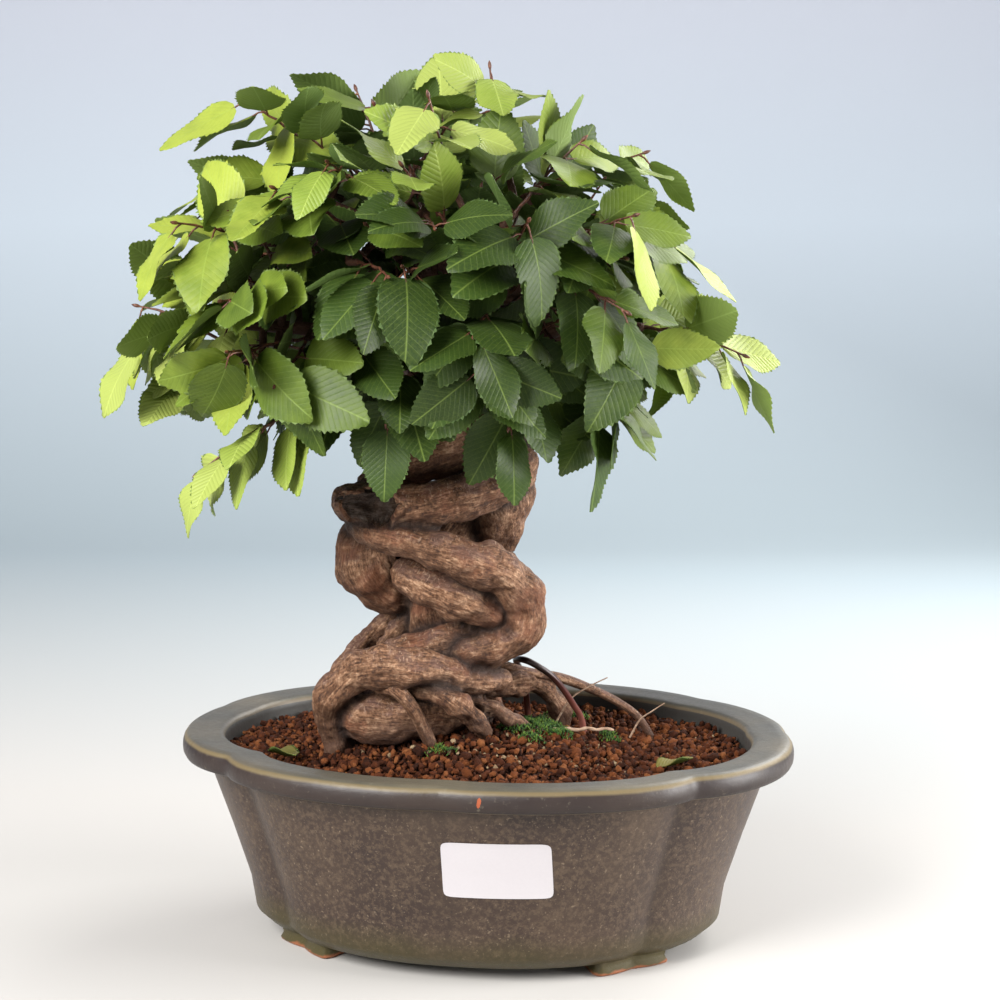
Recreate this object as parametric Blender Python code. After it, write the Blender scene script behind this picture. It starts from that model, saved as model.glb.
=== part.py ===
"""Korean hornbeam bonsai in a lobed oval stoneware pot.

Lengths are in millimetres in the tables and functions below, and MM turns them into
Blender's metres when a mesh is made. The pot's long side lies along X. The tree is laid out
in its viewing frame: across to the right, away from the viewer, and height above the table.
VIEW_TURN turns that frame about the pot's axis into the pot's own.
"""

import math
import random

import bmesh
import bpy
import numpy as np
from mathutils import Matrix, Vector
from mathutils.bvhtree import BVHTree

MM = 0.001
GAP = 0.3
VIEW_TURN = math.radians(10.7)
# The pot's centre, measured from the middle of the whole tree's box
POT_PLACE = (9.85, 4.25)

# Pot
RIM_HALF_LENGTH = 112.4
RIM_HALF_DEPTH = 88.0
RIM_TOP = 74.3
RIM_FACE = 15.3
RIM_THICKNESS = 8.4
RIM_LOBE = 0.055
WALL_LOBE = 0.048
WALL_CENTRE_SHARE = 0.15
WALL_THICKNESS = 7.0
OVAL_POWER = 2.1
# Notches round the pot: degrees from its long axis, and how deep each one is beside the deepest
NOTCHES = (
    (11.0, 0.35), (49.0, 0.5), (90.0, 0.6), (131.0, 0.5),
    (169.0, 0.35), (220.5, 1.0), (270.0, 0.6), (319.5, 1.0),
)
NOTCH_REACH = 6.5
NOTCH_ROUND = 1.2
# Outer wall from the table up: half length, half depth and height
WALL_PROFILE = (
    (80.5, 62.0, 4.4),
    (86.2, 67.0, 9.5),
    (88.0, 69.0, 21.0),
    (94.6, 73.8, 41.0),
    (103.5, 80.8, 65.9),
)
FLOOR_TOP = 13.0
INNER_LEVELS = (RIM_TOP - RIM_THICKNESS, FLOOR_TOP)
DRAIN_RADIUS = 6.5
DRAIN_OFFSET = 34.0
FOOT_NOTCHES = (49.0, 131.0, 220.5, 319.5)
FOOT_SPAN = 13.5
FOOT_HALF_LENGTH = 80.5
FOOT_HALF_DEPTH = 62.5
FOOT_DEPTH = 14.0

# Soil
SOIL_EDGE = 67.0
SOIL_MOUND = 8.5
SOIL_MOUND_PLACE = (-5.0, -5.0)
SOIL_MOUND_REACH = 66.0
SOIL_GRAIN = 0.8
SOIL_RINGS = 4

# Label
LABEL_WIDTH = 37.0
LABEL_LOW = 33.0
LABEL_HIGH = 53.5
LABEL_THICKNESS = 0.6
LABEL_CENTRE = 17.5

# Limbs that wind into the trunk: across, away, height and radius of each point
LIMBS = {
    "upper_core": ((5, 1, 145, 7), (5, -1, 152, 11), (4, 0, 160, 13.6), (1, 3, 170, 13.2),
                   (-6, 4, 180, 12), (-11, 5, 190, 10), (-13, 4, 200, 7.5), (-13, 3, 212, 5)),
    "top_fold": ((-43, 3, 163, 6.5), (-34, 3, 169, 8.2), (-24, -2, 175, 9.5), (-13, -6, 179, 11),
                 (0, -3, 182, 10.5), (8, 5, 180, 8)),
    "band": ((9, 5, 179, 5), (11, -7, 171, 7.4), (1, -16, 165, 8), (-10, -20, 162, 8.1),
             (-22, -21, 159, 8), (-34, -17, 158, 8.2), (-46, -9, 157.5, 8.6), (-50, 3, 158, 6.5)),
    "band_back": ((10, 2, 174, 7), (9, 13, 168, 7.6), (-3, 20, 161, 8), (-18, 22, 155, 8),
                  (-33, 18, 152, 7.6), (-43, 8, 151, 7)),
    "hook": ((-48, -5, 152, 5), (-40, -17, 150, 6.2), (-24, -24, 146, 7), (-8, -25, 141, 7.7),
             (5, -21, 135, 8.4), (12.5, -15, 126, 8.7), (12, -12, 116, 8.6), (4, -13, 108, 8.3),
             (-7, -15, 105, 8)),
    "hook_back": ((-44, 6, 140, 6), (-30, 17, 141, 7.6), (-12, 22, 137, 8.2), (3, 17, 130, 8.4),
                  (9, 7, 120, 8.2), (5, 2, 110, 8)),
    "left_bulge": ((-35, 4, 153, 7.5), (-43, 1, 146, 9), (-44, 0, 136, 10.2), (-38, 2, 128, 10),
                   (-28, 6, 124, 8.4), (-15, 9, 124, 7)),
    "sausage": ((-27, -12, 133, 7.2), (-15, -17, 128, 8.2), (-5, -17, 124, 8.2),
                (1, -15, 121, 6.8)),
    "lower_body": ((10, -2, 111, 8.7), (-3, -9, 108, 9.4), (-17, -11, 106, 8.6),
                   (-30, -8, 102, 7.4), (-42, -4, 97, 6)),
    "core": ((-4, 2, 158, 10), (-13, 4, 143, 12), (-18, 5, 130, 13.5), (-17, 4, 115, 13),
             (-14, 2, 103, 12.5), (-20, 0, 90, 15), (-24, -1, 77, 15), (-24, -1, 64, 12)),
    "back_limb": ((-22, 10, 122, 4.6), (-34, 14, 114, 4.6), (-44, 14, 105, 4.6),
                  (-51, 9, 97, 4.6), (-53, 3, 86, 5.4)),
    "back_limb_small": ((-24, 2, 118, 3.4), (-32, 3, 111, 3.4), (-38, 2, 104, 3)),
    "front_limb": ((4, -10, 95, 4.6), (-7, -19, 97, 5.8), (-19, -25, 101, 6.8),
                   (-32, -27, 103, 7.2), (-45, -25, 101, 7.2), (-53, -19, 93, 6.6),
                   (-56, -15, 82, 6.2), (-53, -12, 71, 5.6), (-51, -10, 62, 4.6)),
    "root_ball": ((-52, -11, 83, 7.5), (-43, -15, 83, 10.2), (-33, -17, 83, 10.6),
                  (-22, -16, 83, 9.3), (-12, -9, 82, 7)),
    "root_ball_back": ((-50, 4, 80, 8), (-38, 14, 82, 10), (-20, 18, 84, 10), (-4, 12, 88, 8)),
    "root_front_1": ((-38, -24, 95, 2.4), (-32, -29, 95, 2.7), (-26, -28, 88, 2.7),
                     (-22, -25, 79, 2.5), (-19, -22, 71, 2.3), (-18, -20, 62, 2)),
    "root_front_2": ((-28, -22, 95, 3.8), (-18, -27, 94, 4.1), (-9, -26, 88.5, 4.1),
                     (-4, -21, 82, 3.8), (-1, -14, 77, 3.3), (2, -7, 64, 2.6)),
    "root_front_3": ((-8, -12, 88, 3.8), (1, -13, 85, 3.4), (7, -11, 81, 3.1), (12, -6, 78, 2.7),
                     (18, -2, 64, 2.2)),
    "root_right": ((-6, -5, 90, 5.4), (7, 0, 91, 5), (17, 6, 90, 4.6), (24, 13, 84, 4.2),
                   (28, 19, 75, 3.6), (30, 23, 64, 2.8)),
    "root_thin": ((2, 0, 99, 1.9), (14, 2, 95, 1.8), (27, 9, 91.2, 1.8), (39, 14, 85.7, 1.7),
                  (49, 16, 80.3, 1.6), (57, 17, 74, 1.5), (63, 17, 64, 1.3)),
    "root_back_1": ((-30, 18, 88, 4.5), (-30, 28, 84, 4), (-33, 36, 76, 3.5), (-36, 40, 66, 2.8)),
    "root_back_2": ((-8, 14, 88, 4), (-2, 24, 85, 3.6), (2, 33, 77, 3.1), (5, 38, 66, 2.5)),
}
FRONT_LIMBS = ("core", "band", "hook", "left_bulge", "sausage", "lower_body", "front_limb")
LONG_BENDS = ("hook", "left_bulge", "front_limb")
# Limbs of the crown, inside the leaves
BRANCHES = {
    "leader": ((-12, 4, 200, 6), (-14, 2, 216, 5), (-8, -1, 236, 3.4), (-17, 0, 256, 1.8)),
    "left": ((-13, 4, 203, 4.4), (-34, -6, 214, 3.6), (-60, -14, 221, 2.6), (-84, -20, 223, 1.6)),
    "left_low": ((-12, 2, 195, 4), (-28, -14, 201, 3.2), (-45, -26.8, 201.2, 2.4),
                 (-60, -32.6, 195.4, 1.7)),
    "right": ((-10, 4, 201, 4.4), (10, -2, 214, 3.6), (34, -9.3, 224, 2.6), (54, -16, 222, 1.6)),
    "right_low": ((-8, 2, 196, 4), (10, -12, 202, 3), (24, -20.7, 203.3, 2.2),
                  (36, -27.3, 201.7, 1.6)),
    "front_low": ((-12, -2, 202, 4), (-19, -20, 208, 2.8), (-25, -38, 210, 1.6)),
    "front_low_right": ((-8, -2, 200, 3.6), (2, -16, 205, 2.6), (8, -32, 207, 1.6)),
    "front": ((-12, 0, 215, 4.2), (-15, -20, 228, 2.9), (-20, -42, 236, 1.6)),
    "front_right": ((-11, -1, 224, 3.6), (8, -18, 240, 2.6), (25, -34, 250, 1.6)),
    "front_left": ((-11, -1, 232, 3.4), (-30, -20, 247, 2.4), (-46, -34, 257, 1.6)),
    "left_high": ((-9, 0, 240, 3.2), (-36, -4, 256, 2.4), (-62, -8, 268, 1.6)),
    "right_high": ((-12, 1, 250, 3), (6, 2, 262, 2.2), (24, 3, 270, 1.6)),
    "back": ((-12, 6, 208, 4.4), (-9, 26, 220, 2.9), (-13, 46, 230, 1.6)),
    "back_left": ((-13, 6, 218, 3.8), (-38, 26, 232, 2.6), (-60, 42, 240, 1.6)),
    "back_right": ((-10, 6, 214, 3.8), (16, 24, 226, 2.6), (38, 38, 235, 1.6)),
    "back_high": ((-9, 2, 244, 3.2), (-15, 20, 258, 2.3), (-19, 38, 268, 1.6)),
    "back_low_left": ((-13, 6, 198, 3.6), (-34, 24, 204, 2.4), (-52, 38, 204, 1.6)),
    "back_low_right": ((-9, 6, 198, 3.6), (12, 24, 204, 2.4), (30, 38, 204, 1.6)),
}
# Where the twigs at the ends of these limbs hang or reach to
TWIG_TIPS = {
    "leader": (-39, -5, 299),
    "left_high": (-66, -10, 299),
    "left_low": (-98, -43, 174),
    "left": (-120, -28, 218),
    "right": (89, -25, 213),
    "right_low": (38, -42, 194),
    "front_low": (-33, -56, 193),
    "front_low_right": (8, -50, 191),
}
WOUND_PLACE = (-41.5, -21.0, 159.0)
WOUND_RADII = (10.0, 8.5, 5.8)

WIRE_RADIUS = 1.2
WIRE_ROUTE = ((16, 17, 64), (14, 14, 88), (11, 8, 97), (11, 2, 99.6), (14, -4, 100.5),
              (18, -5, 98.8), (23.5, -3, 94.5), (28, 1, 88.5), (32, 5.5, 81.5), (35, 9, 75.5),
              (37, 11, 64))
DEAD_TWIG_ROUTE = ((14, -1), (23, -2), (30, -3), (38, -2), (46, -3))
DEAD_TWIG_RADIUS = 0.9
FALLEN_LEAVES = {
    "fallen_leaf_left": ((-76.0, -14.0), -1.1, 17.0),
    "fallen_leaf_right": ((60.0, -36.0), 0.35, 14.0),
}

# Crown
CROWN_CENTRE = (-20.0, 0.0, 222.0)
CROWN_REACH = {"left": 124.0, "right": 109.0, "depth": 100.0, "up": 101.0, "down": 52.0}
CROWN_POWER = 2.15
UP_RIGHT_CUT = 0.14
SPREAD_SHOOTS = 24
LOWEST_SPREAD = -0.22
YOUNG_SHARE = 0.5
TWIG_LENGTH = 34.0
LEAST_RUN_ON = 0.3
TWIG_RADII = (1.15, 0.8)
LEAF_OVERHANG = 18.0
TOP_OVERHANG_CUT = 0.55
LEAF_LENGTH = (23.0, 31.0)
LEAF_ASPECT = 0.66
LEAF_THICKNESS = 0.7
LEAF_GAP = 0.35
PETIOLE = 5.0
PETIOLE_RADIUS = 0.5
PETIOLE_ROOT = 0.3
TOOTH_PLACES = (0.20, 0.46, 0.72)
NOTCH_PLACES = (0.36, 0.62)
NOTCH_DEPTH = 0.84
LEAVES_ON_A_TWIG = 5
LAST_LEAF = 0.96
TRIES = 60


def clear_scene():
    for obj in list(bpy.data.objects):
        bpy.data.objects.remove(obj)


def collection(name):
    made = bpy.data.collections.new(name)
    bpy.context.scene.collection.children.link(made)
    return made


def material(name, colour, roughness, metallic=0.0):
    made = bpy.data.materials.new(name)
    made.use_nodes = True
    shader = made.node_tree.nodes["Principled BSDF"]
    shader.inputs["Base Color"].default_value = (*colour, 1.0)
    shader.inputs["Roughness"].default_value = roughness
    shader.inputs["Metallic"].default_value = metallic
    return made


def in_pot(point):
    """A point of the viewing frame (across, away, height) in the pot's frame, moved to its place."""
    across, away, height = point
    x = across * math.cos(VIEW_TURN) - away * math.sin(VIEW_TURN)
    y = across * math.sin(VIEW_TURN) + away * math.cos(VIEW_TURN)
    return Vector((x + POT_PLACE[0], y + POT_PLACE[1], height))


def new_object(name, points, faces, home, paint=None):
    """A mesh object from points in millimetres, with its normals facing out."""
    mesh = bpy.data.meshes.new(name)
    mesh.from_pydata([Vector(point) * MM for point in points], [], faces)
    shape = bmesh.new()
    shape.from_mesh(mesh)
    bmesh.ops.recalc_face_normals(shape, faces=shape.faces)
    shape.to_mesh(mesh)
    shape.free()
    obj = bpy.data.objects.new(name, mesh)
    home.objects.link(obj)
    if paint:
        mesh.materials.append(paint)
    return obj


def as_cutter(obj):
    obj.hide_render = True
    obj.display_type = "WIRE"


def apply_modifiers(obj):
    graph = bpy.context.evaluated_depsgraph_get()
    mesh = bpy.data.meshes.new_from_object(obj.evaluated_get(graph))
    obj.modifiers.clear()
    obj.data = mesh


def join_all(obj, others, operation="UNION"):
    """One Boolean with a collection of helpers, applied, with the helpers then removed."""
    modifier = obj.modifiers.new("join", "BOOLEAN")
    modifier.operation = operation
    modifier.operand_type = "COLLECTION"
    modifier.collection = others
    modifier.solver = "EXACT"
    apply_modifiers(obj)
    for helper in list(others.objects):
        bpy.data.objects.remove(helper)
    bpy.data.collections.remove(others)


def shade_round(obj):
    obj.data.shade_smooth()
    obj.data.set_sharp_from_angle(angle=math.radians(40))


def shell_volume(faces):
    return sum(
        face.verts[0].co.dot(face.verts[i].co.cross(face.verts[i + 1].co)) / 6
        for face in faces
        for i in range(1, len(face.verts) - 1)
    )


def keep_main_shell(obj):
    """Fills hollows that joining has sealed, and drops loose scraps: only the largest shell stays."""
    shape = bmesh.new()
    shape.from_mesh(obj.data)
    shells = []
    waiting = set(shape.faces)
    while waiting:
        shell = {waiting.pop()}
        edge_of_shell = list(shell)
        while edge_of_shell:
            face = edge_of_shell.pop()
            near = {other for edge in face.edges for other in edge.link_faces} - shell
            shell |= near
            edge_of_shell += near
        waiting -= shell
        shells.append(shell)
    main = max(shells, key=shell_volume)
    spare = [face for shell in shells if shell is not main for face in shell]
    bmesh.ops.delete(shape, geom=spare, context="FACES")
    shape.to_mesh(obj.data)
    shape.free()


def smooth_route(points, steps):
    """A Catmull-Rom curve through the points, with the same number of steps between each two."""
    knots = [np.array(point, float) for point in points]
    knots = [2 * knots[0] - knots[1], *knots, 2 * knots[-1] - knots[-2]]
    route = []
    for a, b, c, d in zip(knots, knots[1:], knots[2:], knots[3:]):
        for step in range(steps):
            t = step / steps
            route.append(
                0.5 * (2 * b + (c - a) * t + (2 * a - 5 * b + 4 * c - d) * t**2
                       + (3 * b - a - 3 * c + d) * t**3)
            )
    route.append(knots[-2])
    return route


def tube(name, route, radii, home, resolution, paint=None):
    """A bevelled poly curve with a radius at each point, made a mesh with welded caps."""
    curve = bpy.data.curves.new(name, "CURVE")
    curve.dimensions = "3D"
    curve.use_fill_caps = True
    curve.bevel_depth = MM
    curve.bevel_resolution = resolution
    spline = curve.splines.new("POLY")
    spline.points.add(len(route) - 1)
    for point, place, radius in zip(spline.points, route, radii):
        point.co = (*(Vector(place) * MM), 1.0)
        point.radius = radius
    guide = bpy.data.objects.new(name, curve)
    home.objects.link(guide)
    graph = bpy.context.evaluated_depsgraph_get()
    mesh = bpy.data.meshes.new_from_object(guide.evaluated_get(graph))
    bpy.data.objects.remove(guide)
    bpy.data.curves.remove(curve)
    shape = bmesh.new()
    shape.from_mesh(mesh)
    bmesh.ops.remove_doubles(shape, verts=shape.verts, dist=1e-6)
    bmesh.ops.recalc_face_normals(shape, faces=shape.faces)
    shape.to_mesh(mesh)
    shape.free()
    mesh.name = name
    obj = bpy.data.objects.new(name, mesh)
    home.objects.link(obj)
    mesh.materials.clear()
    if paint:
        mesh.materials.append(paint)
    return obj


def ring_turns():
    """The degrees at which each level has its corners: close together at the notches, then even."""
    turns = []
    angles = [angle for angle, share in NOTCHES]
    for i, angle in enumerate(angles):
        span = (angles[(i + 1) % len(angles)] - angle) % 360
        steps = max(1, round((span - 24) / 15))
        between = np.linspace(12, span - 12, steps + 1)
        turns += [angle + step for step in (0, 4, *between, span - 4)]
    return turns


def lobed_ring(half_length, half_depth, height, lobe, centre_share=1.0, turns=None):
    """One level of the pot: an oval pulled in at each notch, by a cusp with a small round bottom.

    The notches in the middle of the long sides have only the centre's share of their depth.
    """
    ring = []
    for degrees in turns or ring_turns():
        pull = 1.0
        for angle, share in NOTCHES:
            off = (degrees - angle + 180) % 360 - 180
            depth = lobe * share * (centre_share if angle in (90.0, 270.0) else 1.0)
            pull -= depth * math.exp(-math.hypot(off, NOTCH_ROUND) / NOTCH_REACH)
        turn = math.radians(degrees)
        x = half_length * math.copysign(abs(math.cos(turn)) ** (2 / OVAL_POWER), math.cos(turn))
        y = half_depth * math.copysign(abs(math.sin(turn)) ** (2 / OVAL_POWER), math.sin(turn))
        ring.append(Vector((x * pull + POT_PLACE[0], y * pull + POT_PLACE[1], height)))
    return ring


def loft(name, rings, home, paint=None):
    """A closed solid through a stack of rings, from the bottom one to the top one."""
    points = [point for ring in rings for point in ring]
    count = len(rings[0])
    faces = [tuple(reversed(range(count)))]
    for level in range(len(rings) - 1):
        for i in range(count):
            j = (i + 1) % count
            low, high = level * count, (level + 1) * count
            faces.append((low + i, low + j, high + j, high + i))
    faces.append(tuple(range(len(points) - count, len(points))))
    return new_object(name, points, faces, home, paint)


def wall_ring(height, inset=0.0):
    """The wall's outline at a height, moved in by the inset."""
    lengths, depths, heights = zip(*WALL_PROFILE)
    half_length = float(np.interp(height, heights, lengths)) - inset
    half_depth = float(np.interp(height, heights, depths)) - inset
    return lobed_ring(half_length, half_depth, height, WALL_LOBE, WALL_CENTRE_SHARE)


def rim_rings():
    """The overhanging rim, from the corner under it, over its rounded edge, to its inner edge."""
    top, low = RIM_TOP, RIM_TOP - RIM_THICKNESS
    steps = ((1.4, low), (0.0, low + 3.3), (0.6, top - 1.8), (2.4, top), (RIM_FACE, top))
    return [
        lobed_ring(RIM_HALF_LENGTH - inset, RIM_HALF_DEPTH - inset, z, RIM_LOBE)
        for inset, z in steps
    ]


def inner_ring(height, inset=0.0):
    return wall_ring(height, WALL_THICKNESS + inset)


def foot_ring(angle, height):
    """One level of a foot: a band under the wall's edge that follows it to both sides of a notch."""
    outer = [angle + step for step in (-FOOT_SPAN, -10, -4, 0, 4, 10, FOOT_SPAN)]
    inner = [angle + FOOT_SPAN - 2, angle - FOOT_SPAN + 2]
    length, depth = FOOT_HALF_LENGTH, FOOT_HALF_DEPTH
    front = lobed_ring(length - 1.5, depth - 1.5, height, WALL_LOBE, 1.0, outer[:1])
    front += lobed_ring(length, depth, height, WALL_LOBE, 1.0, outer[1:-1])
    front += lobed_ring(length - 1.5, depth - 1.5, height, WALL_LOBE, 1.0, outer[-1:])
    return front + lobed_ring(length - FOOT_DEPTH, depth - FOOT_DEPTH, height, 0.0, 1.0, inner)


def make_pot(home, paint):
    low = WALL_PROFILE[0][2]
    wall = [wall_ring(level[2]) for level in WALL_PROFILE]
    inner = [inner_ring(z) for z in INNER_LEVELS]
    pot = loft("pot", wall + rim_rings() + inner, home, paint)
    feet = collection("pot_feet")
    for i, angle in enumerate(FOOT_NOTCHES):
        levels = [foot_ring(angle, z) for z in (0.0, low + 3.0)]
        loft(f"foot_{i}", levels, feet)
    join_all(pot, feet)
    drains = collection("drain_holes")
    for side in (-1, 1):
        centre = Vector((side * DRAIN_OFFSET + POT_PLACE[0], POT_PLACE[1], 0))
        levels = [
            [
                centre + Vector((DRAIN_RADIUS * math.cos(a), DRAIN_RADIUS * math.sin(a), z))
                for a in np.linspace(0, 2 * math.pi, 12, endpoint=False)
            ]
            for z in (-2.0, FLOOR_TOP + 2.0)
        ]
        as_cutter(loft(f"drain_{side}", levels, drains))
    join_all(pot, drains, "DIFFERENCE")
    shade_round(pot)
    return pot


def soil_height(x, y):
    """Height of the soil at a point from the pot's centre: a mound round the trunk, plus grain."""
    far = math.hypot(x - SOIL_MOUND_PLACE[0], y - SOIL_MOUND_PLACE[1]) / SOIL_MOUND_REACH
    mound = SOIL_MOUND * max(0.0, 1 - far * far) ** 2
    grain = math.sin(0.83 * x + 1.7 * math.sin(0.51 * y))
    grain *= math.sin(0.77 * y + 1.3 * math.sin(0.43 * x))
    return SOIL_EDGE + mound + SOIL_GRAIN * grain


def make_soil(home, paint, roots):
    """The filling of the pot, with a plain hole for each root and for the wire."""
    low = [inner_ring(FLOOR_TOP + GAP, GAP + 0.1)]
    edge = inner_ring(SOIL_EDGE - 1.0, GAP + 0.1)
    centre = Vector((POT_PLACE[0], POT_PLACE[1], 0))
    surface = []
    for step in range(SOIL_RINGS, 0, -1):
        ring = []
        for point in edge:
            spot = centre + (point - centre) * (step / SOIL_RINGS)
            spot.z = soil_height(spot.x - centre.x, spot.y - centre.y)
            if step == SOIL_RINGS:
                spot.z = SOIL_EDGE - 1.0
            ring.append(spot)
        surface.append(ring)
    soil = loft("soil", [*reversed(low), *surface], home, paint)
    join_all(soil, roots, "DIFFERENCE")
    keep_main_shell(soil)
    return soil


def longer(route, extra):
    """The route with both its ends moved out by the extra length."""
    start, end = Vector(route[0]), Vector(route[-1])
    first = start + (start - Vector(route[1])).normalized() * extra
    last = end + (end - Vector(route[-2])).normalized() * extra
    return [first, *[Vector(point) for point in route[1:-1]], last]


def limb_route(points, steps):
    """The smoothed route of a limb in the pot's frame, and its radii."""
    smooth = smooth_route(points, steps)
    return [in_pot(point[:3]) for point in smooth], [float(point[3]) for point in smooth]


def corner_share(resolution):
    """How far a tube's corners lie outside the true circle, so that its girth is right."""
    return 1 / math.cos(math.pi / (4 + 2 * resolution)) ** 0.5


def make_limb(name, points, home, steps, resolution, fatter=0.0):
    route, radii = limb_route(points, steps)
    if fatter:
        route = longer(route, fatter)
    corner = corner_share(resolution)
    return tube(name, route, [radius * corner + fatter for radius in radii], home, resolution)


def is_root(points):
    return points[-1][2] < SOIL_EDGE


def limb_detail(name):
    """Steps between two points, and the bevel resolution: finer where a limb shows most."""
    return (2 if name in LONG_BENDS else 1, 2 if name in FRONT_LIMBS else 1)


def root_holes():
    """The roots and the wire, a gap fatter, to cut out of the soil."""
    holes = collection("root_holes")
    for name, points in LIMBS.items():
        if is_root(points) or name.startswith("root_ball"):
            steps, resolution = limb_detail(name)
            as_cutter(make_limb(name + "_hole", points, holes, steps, resolution, GAP + 0.1))
    route = [in_pot(point) for point in WIRE_ROUTE]
    fat = WIRE_RADIUS + GAP
    as_cutter(tube("wire_hole", longer(route, GAP), [fat] * len(route), holes, 1))
    return holes


def make_trunk(home, paint, branchlets):
    limbs = collection("limbs")
    for name, points in LIMBS.items():
        if name != "core":
            make_limb(name, points, limbs, *limb_detail(name))
    for name, points in BRANCHES.items():
        make_limb(name, points, limbs, 1, 0)
    for i, (route, radii) in enumerate(branchlets):
        tube(f"branchlet_{i}", route, radii, limbs, 0)
    trunk = make_limb("trunk", LIMBS["core"], home, *limb_detail("core"))
    trunk.data.materials.append(paint)
    join_all(trunk, limbs)
    keep_main_shell(trunk)
    wound = collection("wound")
    cut = bmesh.new()
    bmesh.ops.create_uvsphere(cut, u_segments=10, v_segments=6, radius=1.0)
    mesh = bpy.data.meshes.new("wound_cutter")
    cut.to_mesh(mesh)
    cut.free()
    place = Matrix.Translation(in_pot(WOUND_PLACE) * MM) @ Matrix.Rotation(VIEW_TURN, 4, "Z")
    mesh.transform(place @ Matrix.Diagonal((*(Vector(WOUND_RADII) * MM), 1.0)))
    cutter = bpy.data.objects.new("wound_cutter", mesh)
    wound.objects.link(cutter)
    as_cutter(cutter)
    join_all(trunk, wound, "DIFFERENCE")
    shade_round(trunk)
    return trunk


def leaf_half_width(t):
    """Half width of a leaf, as a share of its widest, at a share t of its length."""
    return math.sin(math.pi * t**0.78) ** 0.8


def leaf_solid(length, width, fold, droop, grow=0.0, stalk=PETIOLE):
    """Points and triangles of a toothed leaf: base at the origin, tip along Y, upper face to +Z.

    Each half rises from the midrib by the fold, the blade sinks with the square of its length
    by the droop, and each tooth ends in an edge, so that the lower face runs from notch to notch.
    """
    half = LEAF_THICKNESS / 2 + grow
    reach = width / 2

    def spot(t, side, share, level):
        x = side * (reach * leaf_half_width(t) * share + grow)
        y = length * t
        return (x, y, abs(x) * fold - droop * length * t * t + level)

    points = []

    def add(point):
        points.append(point)
        return len(points) - 1

    thin = PETIOLE_RADIUS
    root = PETIOLE_ROOT
    start = [add((-root, -stalk, root)), add((root, -stalk, root)), add((0, -stalk, -root))]
    base = [add((-thin, 0, half)), add((thin, 0, half)), add((0, 0, -half))]
    middle = [add(spot(0.48, 0, 0, half)), add(spot(0.48, 0, 0, -half))]
    tip = add((0, length + grow, -droop * length + half))
    faces = [(0, 1, 4), (0, 4, 3), (0, 2, 1), (0, 3, 5), (0, 5, 2), (1, 2, 5), (1, 5, 4)]
    faces.append((base[0], base[1], middle[0]))
    for side in (-1, 1):
        upper = [base[0] if side < 0 else base[1]]
        lower = [base[2]]
        teeth = []
        for i, place in enumerate(TOOTH_PLACES):
            teeth.append(add(spot(place, side, 1.0, half)))
            if i < len(NOTCH_PLACES):
                upper.append(add(spot(NOTCH_PLACES[i], side, NOTCH_DEPTH, half)))
                lower.append(add(spot(NOTCH_PLACES[i], side, NOTCH_DEPTH, -half)))
        upper.append(tip)
        lower.append(tip)
        for i, tooth in enumerate(teeth):
            near, far = upper[i], upper[i + 1]
            below, beyond = lower[i], lower[i + 1]
            faces += [(middle[0], near, tooth), (middle[0], tooth, far)]
            faces += [(near, below, tooth), (tooth, below, beyond), (middle[1], beyond, below)]
            if beyond != far:
                faces.append((tooth, beyond, far))
    return points, faces


def leaf_matrix(base, ahead, up):
    """The turn and place that lay a leaf's Y along ahead and its Z near up, in millimetres."""
    y = Vector(ahead).normalized()
    x = y.cross(Vector(up)).normalized()
    z = x.cross(y)
    turn = Matrix((x, y, z)).transposed().to_4x4()
    return Matrix.Translation(Vector(base)) @ turn


def blade_tree(leaf):
    """A search tree of one blade, a gap thicker all round and without its stalk."""
    points, faces = leaf_solid(*leaf["size"], grow=LEAF_GAP, stalk=-0.5)
    matrix = leaf_matrix(leaf["base"], leaf["ahead"], leaf["up"])
    return BVHTree.FromPolygons([matrix @ Vector(point) for point in points], faces)


def tube_tree(route, radii, sides=6):
    """A search tree of a tube: a ring round each point of the route, at right angles to it."""
    points = []
    for i, place in enumerate(route):
        along = Vector(route[min(i + 1, len(route) - 1)]) - Vector(route[max(i - 1, 0)])
        across = along.orthogonal().normalized()
        other = along.cross(across).normalized()
        for k in range(sides):
            turn = 2 * math.pi * k / sides
            ring = across * math.cos(turn) + other * math.sin(turn)
            points.append(Vector(place) + ring * radii[i])
    faces = [
        (i * sides + k, i * sides + (k + 1) % sides, (i + 1) * sides + (k + 1) % sides, (i + 1) * sides + k)
        for i in range(len(route) - 1)
        for k in range(sides)
    ]
    return BVHTree.FromPolygons(points, faces)


def crown_reach(direction):
    """How far the crown reaches from its centre: an oval with its own reach to each side,
    a little lower where it rises to the right."""
    x, y, z = direction
    wide = CROWN_REACH["right"] if x > 0 else CROWN_REACH["left"]
    tall = CROWN_REACH["up"] * (1 - UP_RIGHT_CUT * max(0.0, x)) if z > 0 else CROWN_REACH["down"]
    terms = (abs(x) / wide, abs(y) / CROWN_REACH["depth"], abs(z) / tall)
    return sum(term**CROWN_POWER for term in terms) ** (-1 / CROWN_POWER)


def spiral_direction(index, count, lowest):
    """The index-th of count even directions, from straight up down to the lowest height."""
    height = 1 - (index + 0.5) / count * (1 - lowest)
    turn = index * math.pi * (3 - math.sqrt(5))
    flat = math.sqrt(1 - height * height)
    return Vector((flat * math.cos(turn), flat * math.sin(turn), height))


def nearest_wood(spot):
    """The place on the crown's limbs from which a branchlet to the spot is shortest, and its radius."""
    centre = Vector(CROWN_CENTRE)
    best = None
    for points in BRANCHES.values():
        for point in smooth_route(points, 4)[4:]:
            place = Vector(point[:3])
            outward = max(0.0, (place - centre).length - (spot - centre).length)
            cost = (place - spot).length + 2 * outward + 30 / point[3]
            if best is None or cost < best[0]:
                best = (cost, place, float(point[3]))
    return best[1], best[2]


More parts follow.
